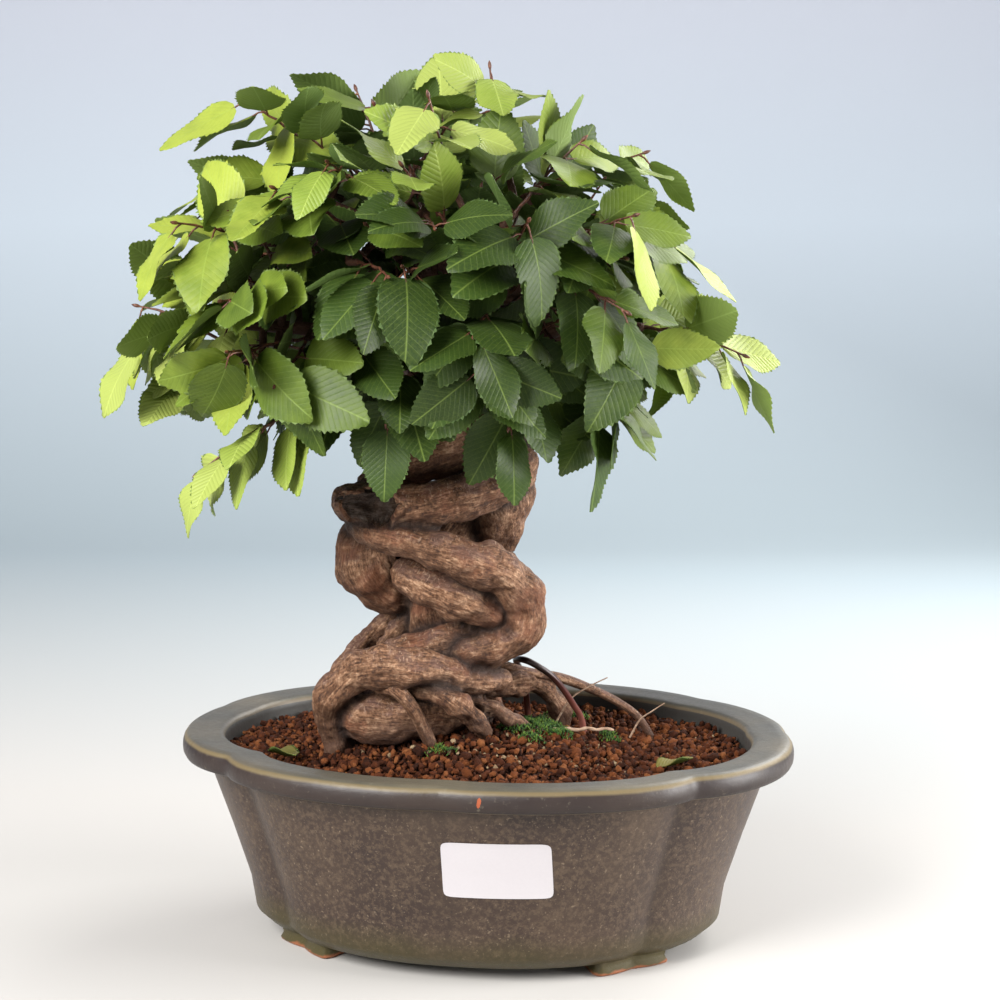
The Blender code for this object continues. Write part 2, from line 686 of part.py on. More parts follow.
def branchlet_route(start, base, ahead):
    """A bow from the limb to the twig's base, ending straight along the twig."""
    span = (base - start).length
    return [start, base - ahead * min(0.45 * span, 14.0), base]


def twig_from(base, ahead, length):
    """A twig that sets off along ahead, then turns a little outwards and down."""
    middle = base + ahead * length / 2
    radial = (middle - Vector(CROWN_CENTRE)).normalized()
    after = (ahead * 0.8 + radial * 0.35 - Vector((0, 0, 0.2))).normalized()
    return [base, middle, middle + after * length / 2]


def drawn_shoot(shoots, wood, draw, aim):
    """A twig near the aim with its branchlet, clear of every earlier one, or None."""
    centre = Vector(CROWN_CENTRE)
    for _ in range(TRIES):
        jitter = Vector([draw.uniform(-1, 1) for _ in range(3)])
        tip = aim + jitter * 4.0
        radial = (tip - centre).normalized()
        ahead = (radial + jitter.cross(radial) * 0.7).normalized()
        route = twig_from(tip - ahead * TWIG_LENGTH, ahead, TWIG_LENGTH)
        start, thick = nearest_wood(route[0])
        if (route[0] - start).normalized().dot(ahead) < LEAST_RUN_ON:
            continue
        stem = branchlet_route(start, route[0] - ahead * GAP, ahead)
        shoot = shoot_on(route, stem, thick)
        if is_clear(shoot, shoots, wood):
            return shoot
    return None


def end_shoot(name):
    """The twig that goes on from the end of a limb, a gap past it."""
    end, before = (Vector(point[:3]) for point in BRANCHES[name][:-3:-1])
    ahead = (end - before).normalized()
    route = twig_from(end + ahead * GAP, ahead, TWIG_LENGTH)
    if name in TWIG_TIPS:
        tip = Vector(TWIG_TIPS[name])
        route[1] = route[0] + ahead * (tip - route[0]).length * 0.45
        route[2] = tip
    return shoot_on(route, [], 0)


def shoot_on(route, stem, thick):
    """A twig's route and radii, and those of the branchlet that carries it."""
    return {
        "route": route,
        "radii": np.linspace(*TWIG_RADII, len(route)).tolist(),
        "stem": stem,
        "stem_radii": np.linspace(min(thick * 0.7, 1.6), TWIG_RADII[0] + 0.1, len(stem)).tolist(),
        "leaves": [],
    }


def is_clear(shoot, shoots, wood):
    """Whether a twig clears the limbs and all other stems, and its branchlet all other twigs."""
    first = shoot["route"][0].lerp(shoot["route"][1], 0.0 if shoot["stem"] else 0.2)
    twig = tube_tree([first, *shoot["route"][1:]], [radius + LEAF_GAP for radius in shoot["radii"]])
    if any(twig.overlap(tree) for tree in wood):
        return False
    shoot["trees"] = [tube_tree(shoot["route"], shoot["radii"])]
    for other in shoots:
        if any(twig.overlap(tree) for tree in other["trees"]):
            return False
    if shoot["stem"]:
        stem = tube_tree(shoot["stem"], [radius + LEAF_GAP for radius in shoot["stem_radii"]])
        if any(stem.overlap(other["trees"][0]) for other in shoots):
            return False
        shoot["trees"].append(tube_tree(shoot["stem"], shoot["stem_radii"]))
    return True


def wood_trees():
    """Search trees of the trunk's limbs and of the crown's, out to their corners."""
    trees = []
    for points in [*LIMBS.values(), *BRANCHES.values()]:
        smooth = smooth_route(points, 2)
        radii = [float(point[3]) * corner_share(0) for point in smooth]
        trees.append(tube_tree([Vector(point[:3]) for point in smooth], radii, 8))
    return trees


def place_shoots(wood):
    """Every twig of the crown: one at each limb's end, then an even spread with branchlets."""
    draw = random.Random(7)
    centre = Vector(CROWN_CENTRE)
    shoots = []
    for name in BRANCHES:
        shoot = end_shoot(name)
        if is_clear(shoot, shoots, wood):
            shoot["young"] = name in ("left", "left_low", "right")
            shoot["free"] = name in TWIG_TIPS
            shoots.append(shoot)
    for i in range(SPREAD_SHOOTS):
        out = spiral_direction(i, SPREAD_SHOOTS, LOWEST_SPREAD)
        overhang = LEAF_OVERHANG * (1 - TOP_OVERHANG_CUT * max(0.0, out.z))
        aim = centre + out * (crown_reach(out) - overhang)
        shoot = drawn_shoot(shoots, wood, draw, aim)
        if shoot:
            edge = out.z > 0.35 or abs(out.x) > 0.75
            shoot["young"] = edge and draw.random() < YOUNG_SHARE
            shoot["free"] = False
            shoots.append(shoot)
    return shoots


def outside_crown(spot):
    out = spot - Vector(CROWN_CENTRE)
    return out.length > crown_reach(out.normalized())


def leaf_draw(shoot, place, side, draw, slack):
    """One leaf at a place along its twig: it points out and down, with its face out and up."""
    route = shoot["route"]
    step = place * (len(route) - 1)
    index = min(int(step), len(route) - 2)
    root = route[index].lerp(route[index + 1], step - index)
    along = (route[index + 1] - route[index]).normalized()
    out = (root - Vector(CROWN_CENTRE)).normalized()
    level = (root.z - CROWN_CENTRE[2]) / CROWN_REACH["up"]
    sag = 0.85 - 0.25 * level
    across = along.cross(Vector((0, 0, 1))).normalized()
    wild = Vector([draw.gauss(0, slack) for _ in range(3)])
    spread = 0.0 if place == LAST_LEAF else 0.85
    ahead = along * 0.5 + across * side * spread + out * 0.25 - Vector((0, 0, sag)) + wild
    ahead.normalize()
    face = out * 1.1 + Vector((0, 0, 0.3)) + across * side * 0.3
    face += Vector([draw.gauss(0, slack) for _ in range(3)])
    low, high = LEAF_LENGTH
    length = draw.uniform(low, high) * (1.0 - 0.18 * place if shoot["young"] else 1.0)
    size = (length, length * LEAF_ASPECT * draw.uniform(0.9, 1.08), draw.uniform(0.06, 0.22),
            draw.uniform(0.08, 0.26))
    return {"root": root, "base": root + ahead * PETIOLE, "ahead": ahead, "up": face, "size": size}


def place_leaves(shoots, wood):
    """Gives each twig its leaves, alternately to each side, each clear of all that is there."""
    draw = random.Random(11)
    blades = []
    for number in range(LEAVES_ON_A_TWIG):
        for shoot in shoots[: len(BRANCHES) if number == LEAVES_ON_A_TWIG - 1 else None]:
            place = LAST_LEAF - number * 0.8 / (LEAVES_ON_A_TWIG - 1)
            side = 1 if number % 2 else -1
            leaf = clear_leaf(shoot, place, side, draw, shoots, wood, blades)
            if leaf:
                shoot["leaves"].append(leaf)
                blades.append((leaf["middle"], leaf["tree"], leaf["stalk"]))


def clear_leaf(shoot, place, side, draw, shoots, wood, blades):
    for attempt in range(TRIES):
        leaf = leaf_draw(shoot, place, side, draw, 0.12 + 0.5 * attempt / TRIES)
        tree = blade_tree(leaf)
        middle = leaf["base"] + leaf["ahead"] * leaf["size"][0] / 2
        if not shoot["free"] and outside_crown(middle * 2 - leaf["base"]):
            continue
        stalk = tube_tree([leaf["root"] + leaf["ahead"] * 2, leaf["base"]], [0.9, 0.9], 4)
        near = [b for b in blades if (b[0] - middle).length < 46]
        if any(tree.overlap(b[1]) or tree.overlap(b[2]) or stalk.overlap(b[1]) for b in near):
            continue
        if any(tree.overlap(other) for other in wood):
            continue
        if any(tree.overlap(stem) for other in shoots for stem in other["trees"]):
            continue
        others = [other for other in shoots if other is not shoot]
        if any(stalk.overlap(stem) for other in others for stem in other["trees"]):
            continue
        leaf.update(tree=tree, middle=middle, stalk=stalk)
        return leaf
    return None


def make_shoot(name, shoot, home, paint):
    """A twig with its leaves fused to it."""
    leaves = collection(name + "_leaves")
    for i, leaf in enumerate(shoot["leaves"]):
        points, faces = leaf_solid(*leaf["size"])
        matrix = leaf_matrix(leaf["base"], leaf["ahead"], leaf["up"])
        placed = [in_pot(matrix @ Vector(point)) for point in points]
        new_object(f"{name}_leaf_{i}", placed, faces, leaves)
    route = [in_pot(point) for point in shoot["route"]]
    twig = tube(name, route, shoot["radii"], home, 0, paint)
    join_all(twig, leaves)
    keep_main_shell(twig)
    twig.data.materials.clear()
    twig.data.materials.append(paint)
    return twig


def label_columns():
    """Places along the label's width, with how far the round corners cut in at each."""
    half = LABEL_WIDTH / 2
    ends = ((half, 2.2), (half - 0.7, 0.7), (half - 2.2, 0.0))
    corners = sorted(p.x - POT_PLACE[0] - LABEL_CENTRE for p in wall_ring(41.0) if p.y < POT_PLACE[1])
    inner = [(x, 0.0) for x in corners if abs(x) < half - 3]
    return [(-x, cut) for x, cut in ends] + inner + [(x, cut) for x, cut in reversed(ends)]


def wall_front(across, height):
    """The point of the pot's front wall at a distance across and a height, on the wall's facets."""
    ring = [point - Vector((*POT_PLACE, 0)) for point in wall_ring(height)]
    front = sorted((p.x, p.y) for p in ring if p.y < 0)
    return float(np.interp(across, [p[0] for p in front], [p[1] for p in front]))


def make_label(home, paint):
    """A blank sheet that follows the wall's facets, a gap in front of them."""
    rows = (LABEL_LOW, 41.0, LABEL_HIGH)
    points = []
    columns = label_columns()
    for thick in (0.0, LABEL_THICKNESS):
        for x, cut in columns:
            for row, height in enumerate(rows):
                z = height + (cut if row == 0 else -cut if row == 2 else 0)
                y = wall_front(x + LABEL_CENTRE, z) - GAP * 1.3 - thick
                points.append((x + LABEL_CENTRE + POT_PLACE[0], y + POT_PLACE[1], z))
    count = len(columns)
    sheet = count * 3
    faces = []
    for i in range(count - 1):
        for row in range(2):
            a, b = i * 3 + row, (i + 1) * 3 + row
            faces += [(a, b, b + 1), (a, b + 1, a + 1)]
            faces += [(sheet + a, sheet + b + 1, sheet + b), (sheet + a, sheet + a + 1, sheet + b + 1)]
    low_edge = [i * 3 for i in range(count)]
    high_edge = [i * 3 + 2 for i in reversed(range(count))]
    border = [*low_edge, sheet - 2, *high_edge, 1]
    for a, b in zip(border, border[1:] + border[:1]):
        faces.append((a, b, sheet + b, sheet + a))
    return new_object("label", points, faces, home, paint)


def make_wire(home, paint):
    route = [in_pot(point) for point in WIRE_ROUTE]
    wire = tube("wire", route, [WIRE_RADIUS] * len(route), home, 1, paint)
    shade_round(wire)
    return wire


def soil_tree(soil):
    """A search tree of the soil's own facets, in millimetres."""
    points = [vertex.co / MM for vertex in soil.data.vertices]
    return BVHTree.FromPolygons(points, [polygon.vertices for polygon in soil.data.polygons])


def seated(spots, ground):
    """The points in the pot's frame, lifted until the lowest lies a gap above the soil."""
    placed = [in_pot(spot) for spot in spots]
    drop = Vector((0, 0, -1))
    lift = -math.inf
    for spot in placed:
        hit = ground.ray_cast(Vector((spot.x, spot.y, 2 * RIM_TOP)), drop)[0]
        lift = max(lift, hit.z - spot.z)
    return [spot + Vector((0, 0, lift + GAP)) for spot in placed]


def make_dead_twig(home, paint, ground):
    """A straight dry twig that lies on the soil: its underside is seated, then its axis drawn."""
    under = seated([(*place, 0.0) for place in DEAD_TWIG_ROUTE], ground)
    route = [spot + Vector((0, 0, DEAD_TWIG_RADIUS)) for spot in under]
    radii = np.linspace(DEAD_TWIG_RADIUS, DEAD_TWIG_RADIUS * 0.7, len(route))
    return tube("dead_twig", route, radii.tolist(), home, 0, paint)


def make_fallen_leaf(name, home, paint, ground):
    place, turn, length = FALLEN_LEAVES[name]
    points, faces = leaf_solid(length, length * 0.6, 0.25, -0.08, stalk=3.0)
    ahead = Vector((math.cos(turn), math.sin(turn), 0))
    matrix = leaf_matrix((*place, 0), ahead, (0, 0, 1))
    return new_object(name, seated([matrix @ Vector(point) for point in points], ground), faces, home, paint)


def main():
    clear_scene()
    home = collection("korean_hornbeam_bonsai")
    glaze = material("pot_glaze", (0.12, 0.11, 0.10), 0.35)
    earth = material("soil_granules", (0.16, 0.07, 0.04), 0.95)
    bark = material("bark", (0.36, 0.25, 0.18), 0.85)
    green = material("leaf_green", (0.07, 0.19, 0.04), 0.5)
    lime = material("leaf_young", (0.28, 0.45, 0.06), 0.5)
    brown_wire = material("wire_brown", (0.18, 0.07, 0.05), 0.4)
    paper = material("label_paper", (0.86, 0.86, 0.86), 0.6)
    dry = material("dry_wood", (0.40, 0.28, 0.20), 0.9)
    faded = material("leaf_faded", (0.20, 0.19, 0.06), 0.7)

    wood = wood_trees()
    shoots = place_shoots(wood)
    place_leaves(shoots, wood)
    shoots = [shoot for shoot in shoots if shoot["leaves"]]

    make_pot(home, glaze)
    ground = soil_tree(make_soil(home, earth, root_holes()))
    branchlets = [
        ([in_pot(p) for p in shoot["stem"]], shoot["stem_radii"]) for shoot in shoots if shoot["stem"]
    ]
    make_trunk(home, bark, branchlets)
    make_wire(home, brown_wire)
    make_label(home, paper)
    make_dead_twig(home, dry, ground)
    for name in FALLEN_LEAVES:
        make_fallen_leaf(name, home, faded, ground)
    for i, shoot in enumerate(shoots, 1):
        make_shoot(f"shoot_{i:02d}", shoot, home, lime if shoot["young"] else green)


main()
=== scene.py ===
"""Fine surfaces and finishes of a korean hornbeam bonsai in its lobed, glazed pot.

Lengths in the tables and functions are millimetres, and MM turns them into metres when a mesh
is made. The tree is laid out in its viewing frame: across to the right, away from the viewer,
and height above the table. in_pot turns it by VIEW_TURN and moves it to the pot's place.
"""

import math
import random

import bmesh
import bpy
import numpy as np
from mathutils import Matrix, Vector
from mathutils.bvhtree import BVHTree


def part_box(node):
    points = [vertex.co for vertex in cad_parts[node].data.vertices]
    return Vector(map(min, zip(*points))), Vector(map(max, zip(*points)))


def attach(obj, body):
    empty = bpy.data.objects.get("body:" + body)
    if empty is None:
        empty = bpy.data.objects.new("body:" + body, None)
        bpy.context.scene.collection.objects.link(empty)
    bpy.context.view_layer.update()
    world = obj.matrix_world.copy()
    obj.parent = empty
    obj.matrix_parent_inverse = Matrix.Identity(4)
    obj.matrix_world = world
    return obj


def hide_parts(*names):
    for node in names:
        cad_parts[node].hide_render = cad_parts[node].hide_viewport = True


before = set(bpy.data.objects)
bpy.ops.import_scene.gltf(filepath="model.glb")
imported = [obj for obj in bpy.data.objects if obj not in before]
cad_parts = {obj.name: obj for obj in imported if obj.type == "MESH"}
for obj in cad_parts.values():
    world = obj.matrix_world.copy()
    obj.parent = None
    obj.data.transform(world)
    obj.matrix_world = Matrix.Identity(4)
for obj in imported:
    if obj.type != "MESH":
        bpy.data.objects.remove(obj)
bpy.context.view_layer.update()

MM = 0.001
GAP = 0.3
VIEW_TURN = math.radians(10.7)
POT_PLACE = (9.85, 4.25)

# Camera: where it looks, from which side, how far off, and its lens on a 36 mm sensor
LOOK_AT = (4.6, 1.3, 158.7)
CAMERA_TURN = VIEW_TURN
CAMERA_RISE = math.radians(7.58)
CAMERA_DISTANCE = 797.0
CAMERA_LENS = 79.2

SHARP_EDGE = math.radians(50)

# Pot
POT_SHIFT = np.array([*POT_PLACE, 0.0])
RIM_HALF_LENGTH = 112.4
RIM_HALF_DEPTH = 88.0
# How far the deepest notch draws the rim and the wall in, and the share of that at the middles
RIM_LOBE = 0.055
WALL_LOBE = 0.048
WALL_CENTRE_SHARE = 0.15
WALL_THICKNESS = 7.0
OVAL_POWER = 2.1
AROUND = 480
DEGREES = np.arange(AROUND) * 360.0 / AROUND
# Notches round the pot: degrees from its long axis, and how deep each one is beside the deepest
NOTCHES = (
    (11.0, 0.35), (49.0, 0.5), (90.0, 0.6), (131.0, 0.5),
    (169.0, 0.35), (220.5, 1.0), (270.0, 0.6), (319.5, 1.0),
)
# Degrees over which a notch falls off, those of its round bottom, and those of the painted shade in its
# crease
NOTCH_REACH = 6.5
NOTCH_ROUND = 1.2
NOTCH_SHADE = 2.2
# The wall's section: half length, half depth and height, straight from row to row
WALL_PROFILE = (
    (80.5, 62.0, 4.4),
    (86.2, 67.0, 9.5),
    (88.0, 69.0, 21.0),
    (94.6, 73.8, 41.0),
    (103.5, 80.8, 65.9),
)
# Heights of the fine wall's rows, outside and inside, and how far its lowest rows are drawn in
WALL_LEVELS = (4.4, 4.8, 5.7, 7.2, 9.5, 13, 17, 21, 26, 31, 36, 41, 46, 51, 56, 61, 64, 65.8)
WALL_EDGE_INSETS = (1.6, 0.6)
FLOOR_TOP = 13.0
INSIDE_LEVELS = (70.0, 66.0, 55.0, 41.0, 27.0, FLOOR_TOP + 3, FLOOR_TOP)
FLOOR_EDGE_INSET = 3.0
# The rim's section: how far each point lies inside the rim's outline, and its height
RIM_SECTION = (
    (5.0, 66.1), (2.0, 65.9), (0.8, 66.4), (0.15, 67.7), (0.0, 69.3), (0.1, 70.9), (0.5, 72.3),
    (1.3, 73.5), (2.7, 74.25), (5.5, 74.1), (9.8, 73.8), (13.0, 73.8), (14.5, 73.4), (15.2, 72.2),
)
# Drain holes, and four feet: how many degrees each spans to a side, and its size
DRAIN_RADIUS = 6.5
DRAIN_OFFSET = 34.0
FOOT_NOTCHES = (49.0, 131.0, 220.5, 319.5)
FOOT_SPAN = 13.5
FOOT_HALF_LENGTH = 80.5
FOOT_HALF_DEPTH = 62.5
FOOT_DEPTH = 14.0
# The foot's section: height, and how far its face lies in at that height
FOOT_SECTION = ((0.0, 1.1), (0.35, 0.3), (1.0, 0.1), (3.0, 0.9), (4.6, 0.5), (7.4, 0.0))
# The radius of its outer corners, and the share of its span that runs straight
FOOT_ROUND = 3.0
FOOT_STRAIGHT = 0.86
# The chip in the rim's glaze: its place along the pot's long side and its height, and its radii
CHIP = (14.0, 70.0)
CHIP_RADII = (1.2, 2.6)

# Soil
SOIL_EDGE = 67.0
SOIL_MOUND = 8.5
SOIL_MOUND_PLACE = (-5.0, -5.0)
SOIL_MOUND_REACH = 66.0
SOIL_GRAIN = 0.8
SOIL_BED_DEPTH = 1.2
# Layers of granules: how far apart they lie, their least and greatest size, and their lift
GRANULE_LAYERS = ((2.3, 0.8, 1.9, -0.5), (3.1, 0.45, 2.1, 0.6))
# Moss: across and away of each patch's middle, then its width and depth
MOSS_PATCHES = ((20.0, 1.0, 15.0, 15.0), (10.0, -8.0, 10.0, 7.0), (27.0, -7.0, 7.0, 5.0),
                (45.0, 3.0, 6.0, 6.0), (-16.0, -34.0, 9.0, 3.0), (16.0, -19.0, 8.0, 4.0),
                (30.0, 38.0, 14.0, 8.0))

# Label
LABEL_WIDTH = 37.0
LABEL_LOW = 33.0
LABEL_HIGH = 53.5
LABEL_CENTRE = 17.5
LABEL_CORNER_POWER = 14.0
LABEL_LIFT = 0.22
LABEL_SHEET = 0.12

# Limbs that wind into the trunk: across, away, height and radius of each point
LIMBS = {
    "upper_core": ((5, 1, 145, 7), (5, -1, 152, 11), (4, 0, 160, 13.6), (1, 3, 170, 13.2),
                   (-6, 4, 180, 12), (-11, 5, 190, 10), (-13, 4, 200, 7.5), (-13, 3, 212, 5)),
    "top_fold": ((-43, 3, 163, 6.5), (-34, 3, 169, 8.2), (-24, -2, 175, 9.5), (-13, -6, 179, 11),
                 (0, -3, 182, 10.5), (8, 5, 180, 8)),
    "band": ((9, 5, 179, 5), (11, -7, 171, 7.4), (1, -16, 165, 8), (-10, -20, 162, 8.1),
             (-22, -21, 159, 8), (-34, -17, 158, 8.2), (-46, -9, 157.5, 8.6), (-50, 3, 158, 6.5)),
    "band_back": ((10, 2, 174, 7), (9, 13, 168, 7.6), (-3, 20, 161, 8), (-18, 22, 155, 8),
                  (-33, 18, 152, 7.6), (-43, 8, 151, 7)),
    "hook": ((-48, -5, 152, 5), (-40, -17, 150, 6.2), (-24, -24, 146, 7), (-8, -25, 141, 7.7),
             (5, -21, 135, 8.4), (12.5, -15, 126, 8.7), (12, -12, 116, 8.6), (4, -13, 108, 8.3),
             (-7, -15, 105, 8)),
    "hook_back": ((-44, 6, 140, 6), (-30, 17, 141, 7.6), (-12, 22, 137, 8.2), (3, 17, 130, 8.4),
                  (9, 7, 120, 8.2), (5, 2, 110, 8)),
    "left_bulge": ((-35, 4, 153, 7.5), (-43, 1, 146, 9), (-44, 0, 136, 10.2), (-38, 2, 128, 10),
                   (-28, 6, 124, 8.4), (-15, 9, 124, 7)),
    "sausage": ((-27, -12, 133, 7.2), (-15, -17, 128, 8.2), (-5, -17, 124, 8.2),
                (1, -15, 121, 6.8)),
    "lower_body": ((10, -2, 111, 8.7), (-3, -9, 108, 9.4), (-17, -11, 106, 8.6),
                   (-30, -8, 102, 7.4), (-42, -4, 97, 6)),
    "core": ((-4, 2, 158, 10), (-13, 4, 143, 12), (-18, 5, 130, 13.5), (-17, 4, 115, 13),
             (-14, 2, 103, 12.5), (-20, 0, 90, 15), (-24, -1, 77, 15), (-24, -1, 64, 12)),
    "back_limb": ((-22, 10, 122, 4.6), (-34, 14, 114, 4.6), (-44, 14, 105, 4.6),
                  (-51, 9, 97, 4.6), (-53, 3, 86, 5.4)),
    "back_limb_small": ((-24, 2, 118, 3.4), (-32, 3, 111, 3.4), (-38, 2, 104, 3)),
    "front_limb": ((4, -10, 95, 4.6), (-7, -19, 97, 5.8), (-19, -25, 101, 6.8),
                   (-32, -27, 103, 7.2), (-45, -25, 101, 7.2), (-53, -19, 93, 6.6),
                   (-56, -15, 82, 6.2), (-53, -12, 71, 5.6), (-51, -10, 62, 4.6)),
    "root_ball": ((-52, -11, 83, 7.5), (-43, -15, 83, 10.2), (-33, -17, 83, 10.6),
                  (-22, -16, 83, 9.3), (-12, -9, 82, 7)),
    "root_ball_back": ((-50, 4, 80, 8), (-38, 14, 82, 10), (-20, 18, 84, 10), (-4, 12, 88, 8)),
    "root_front_1": ((-38, -24, 95, 2.4), (-32, -29, 95, 2.7), (-26, -28, 88, 2.7),
                     (-22, -25, 79, 2.5), (-19, -22, 71, 2.3), (-18, -20, 62, 2)),
    "root_front_2": ((-28, -22, 95, 3.8), (-18, -27, 94, 4.1), (-9, -26, 88.5, 4.1),
                     (-4, -21, 82, 3.8), (-1, -14, 77, 3.3), (2, -7, 64, 2.6)),
    "root_front_3": ((-8, -12, 88, 3.8), (1, -13, 85, 3.4), (7, -11, 81, 3.1), (12, -6, 78, 2.7),
                     (18, -2, 64, 2.2)),
    "root_right": ((-6, -5, 90, 5.4), (7, 0, 91, 5), (17, 6, 90, 4.6), (24, 13, 84, 4.2),
                   (28, 19, 75, 3.6), (30, 23, 64, 2.8)),
    "root_thin": ((2, 0, 99, 1.9), (14, 2, 95, 1.8), (27, 9, 91.2, 1.8), (39, 14, 85.7, 1.7),
                  (49, 16, 80.3, 1.6), (57, 17, 74, 1.5), (63, 17, 64, 1.3)),
    "root_back_1": ((-30, 18, 88, 4.5), (-30, 28, 84, 4), (-33, 36, 76, 3.5), (-36, 40, 66, 2.8)),
    "root_back_2": ((-8, 14, 88, 4), (-2, 24, 85, 3.6), (2, 33, 77, 3.1), (5, 38, 66, 2.5)),
}
# Limbs of the crown, inside the leaves
BRANCHES = {
    "leader": ((-12, 4, 200, 6), (-14, 2, 216, 5), (-8, -1, 236, 3.4), (-17, 0, 256, 1.8)),
    "left": ((-13, 4, 203, 4.4), (-34, -6, 214, 3.6), (-60, -14, 221, 2.6), (-84, -20, 223, 1.6)),
    "left_low": ((-12, 2, 195, 4), (-28, -14, 201, 3.2), (-45, -26.8, 201.2, 2.4),
                 (-60, -32.6, 195.4, 1.7)),
    "right": ((-10, 4, 201, 4.4), (10, -2, 214, 3.6), (34, -9.3, 224, 2.6), (54, -16, 222, 1.6)),
    "right_low": ((-8, 2, 196, 4), (10, -12, 202, 3), (24, -20.7, 203.3, 2.2),
                  (36, -27.3, 201.7, 1.6)),
    "front_low": ((-12, -2, 202, 4), (-19, -20, 208, 2.8), (-25, -38, 210, 1.6)),
    "front_low_right": ((-8, -2, 200, 3.6), (2, -16, 205, 2.6), (8, -32, 207, 1.6)),
    "front": ((-12, 0, 215, 4.2), (-15, -20, 228, 2.9), (-20, -42, 236, 1.6)),
    "front_right": ((-11, -1, 224, 3.6), (8, -18, 240, 2.6), (25, -34, 250, 1.6)),
    "front_left": ((-11, -1, 232, 3.4), (-30, -20, 247, 2.4), (-46, -34, 257, 1.6)),
    "left_high": ((-9, 0, 240, 3.2), (-36, -4, 256, 2.4), (-62, -8, 268, 1.6)),
    "right_high": ((-12, 1, 250, 3), (6, 2, 262, 2.2), (24, 3, 270, 1.6)),
    "back": ((-12, 6, 208, 4.4), (-9, 26, 220, 2.9), (-13, 46, 230, 1.6)),
    "back_left": ((-13, 6, 218, 3.8), (-38, 26, 232, 2.6), (-60, 42, 240, 1.6)),
    "back_right": ((-10, 6, 214, 3.8), (16, 24, 226, 2.6), (38, 38, 235, 1.6)),
    "back_high": ((-9, 2, 244, 3.2), (-15, 20, 258, 2.3), (-19, 38, 268, 1.6)),
    "back_low_left": ((-13, 6, 198, 3.6), (-34, 24, 204, 2.4), (-52, 38, 204, 1.6)),
    "back_low_right": ((-9, 6, 198, 3.6), (12, 24, 204, 2.4), (30, 38, 204, 1.6)),
}
# Where the longer twigs at the ends of some limbs have their tips
TWIG_TIPS = {
    "leader": (-39, -5, 299),
    "left_high": (-66, -10, 299),
    "left_low": (-98, -43, 174),
    "left": (-120, -28, 218),
    "right": (89, -25, 213),
    "right_low": (38, -42, 194),
    "front_low": (-33, -56, 193),
    "front_low_right": (8, -50, 191),
}
FINE_ROOTS = ("root_front_1", "root_thin")
# The sawn limb's wound: its middle, and its radii across, away and up
WOUND_PLACE = (-41.5, -21.0, 159.0)
WOUND_RADII = (10.0, 8.5, 5.8)
# Knots in the bark: across, away, height and size
KNOTS = ((-8.8, -18.5, 108.4, 2.6), (7.5, -20.0, 114.8, 3.2), (-30.0, -22.0, 82.0, 2.4))
# The cell in which the limbs are fused, and the waves of which noise is made
TRUNK_GRAIN = 1.05
RIPPLE_WAVES = 14

# Wire, dead twig, fallen leaves (place, turn and length) and rootlets
WIRE_RADIUS = 1.2
WIRE_ROUTE = ((16, 17, 64), (14, 14, 88), (11, 8, 97), (11, 2, 99.6), (14, -4, 100.5),
              (18, -5, 98.8), (23.5, -3, 94.5), (28, 1, 88.5), (32, 5.5, 81.5), (35, 9, 75.5),
              (37, 11, 64))
DEAD_TWIG_ROUTE = ((14, -1), (23, -2), (30, -3), (38, -2), (46, -3))
DEAD_TWIG_RADIUS = 0.9
FALLEN_LEAVES = {
    "fallen_leaf_left": ((-76.0, -14.0), -1.1, 17.0),
    "fallen_leaf_right": ((60.0, -36.0), 0.35, 14.0),
}
FALLEN_LIFT = 1.6
ROOTLETS = (
    ((25, 7, 74), (31, 8, 83.5), (38, 9, 88), (44.5, 10, 91.0)),
    ((53, 8, 69), (56.5, 7.5, 75.5), (61, 7, 79), (65.5, 7, 82)),
)

# Crown: an oval with its own reach to each side, and the shoots and leaves that the solids have
CROWN_CENTRE = (-20.0, 0.0, 222.0)
CROWN_REACH = {"left": 124.0, "right": 109.0, "depth": 100.0, "up": 101.0, "down": 52.0}
CROWN_POWER = 2.15
UP_RIGHT_CUT = 0.14
SPREAD_SHOOTS = 24
LOWEST_SPREAD = -0.22
YOUNG_SHARE = 0.5
TWIG_LENGTH = 34.0
LEAST_RUN_ON = 0.3
TWIG_RADII = (1.15, 0.8)
LEAF_OVERHANG = 18.0
TOP_OVERHANG_CUT = 0.55
LEAF_LENGTH = (23.0, 31.0)
LEAF_ASPECT = 0.66
LEAF_THICKNESS = 0.7
LEAF_GAP = 0.35
PETIOLE = 5.0
PETIOLE_RADIUS = 0.5
PETIOLE_ROOT = 0.3
TOOTH_PLACES = (0.20, 0.46, 0.72)
NOTCH_PLACES = (0.36, 0.62)
NOTCH_DEPTH = 0.84
LEAVES_ON_A_TWIG = 5
LAST_LEAF = 0.96
TRIES = 60
# Blades whose middles lie farther apart than this can't meet
BLADES_APART = 46.0

# Fine leaves: teeth and cells on each side, where the inner cells end, and the blade's thickness
TEETH = 16
SPANS = 8
INNER = 0.84
BLADE = 0.34
# The fine leaf's fold and width, and the fine twig's girth, beside those of the solids
FINE_FOLD = 0.6
FINE_WIDTH = 1.06
TWIG_SHARE = 0.62
LEAF_CREASE = math.radians(75)
# Filling shoots: how many, how far down and how deep in the crown they stand, in turn
FILL_SHOOTS = 84
LOWEST_FILL = -0.35
FILL_DEPTHS = (0.93, 0.78, 0.62)
FILL_TRIES = 16
EXTRA_LEAVES = 4
# From the crown's centre: where its top, back and sides begin, and the reach of the leaves' painted
# light and shade
TOP_RISE = 48.0
BACK_DEPTH = 18.0
SIDE_REACH = 38.0
LEAF_LIGHT_REACH = (105.0, 85.0)

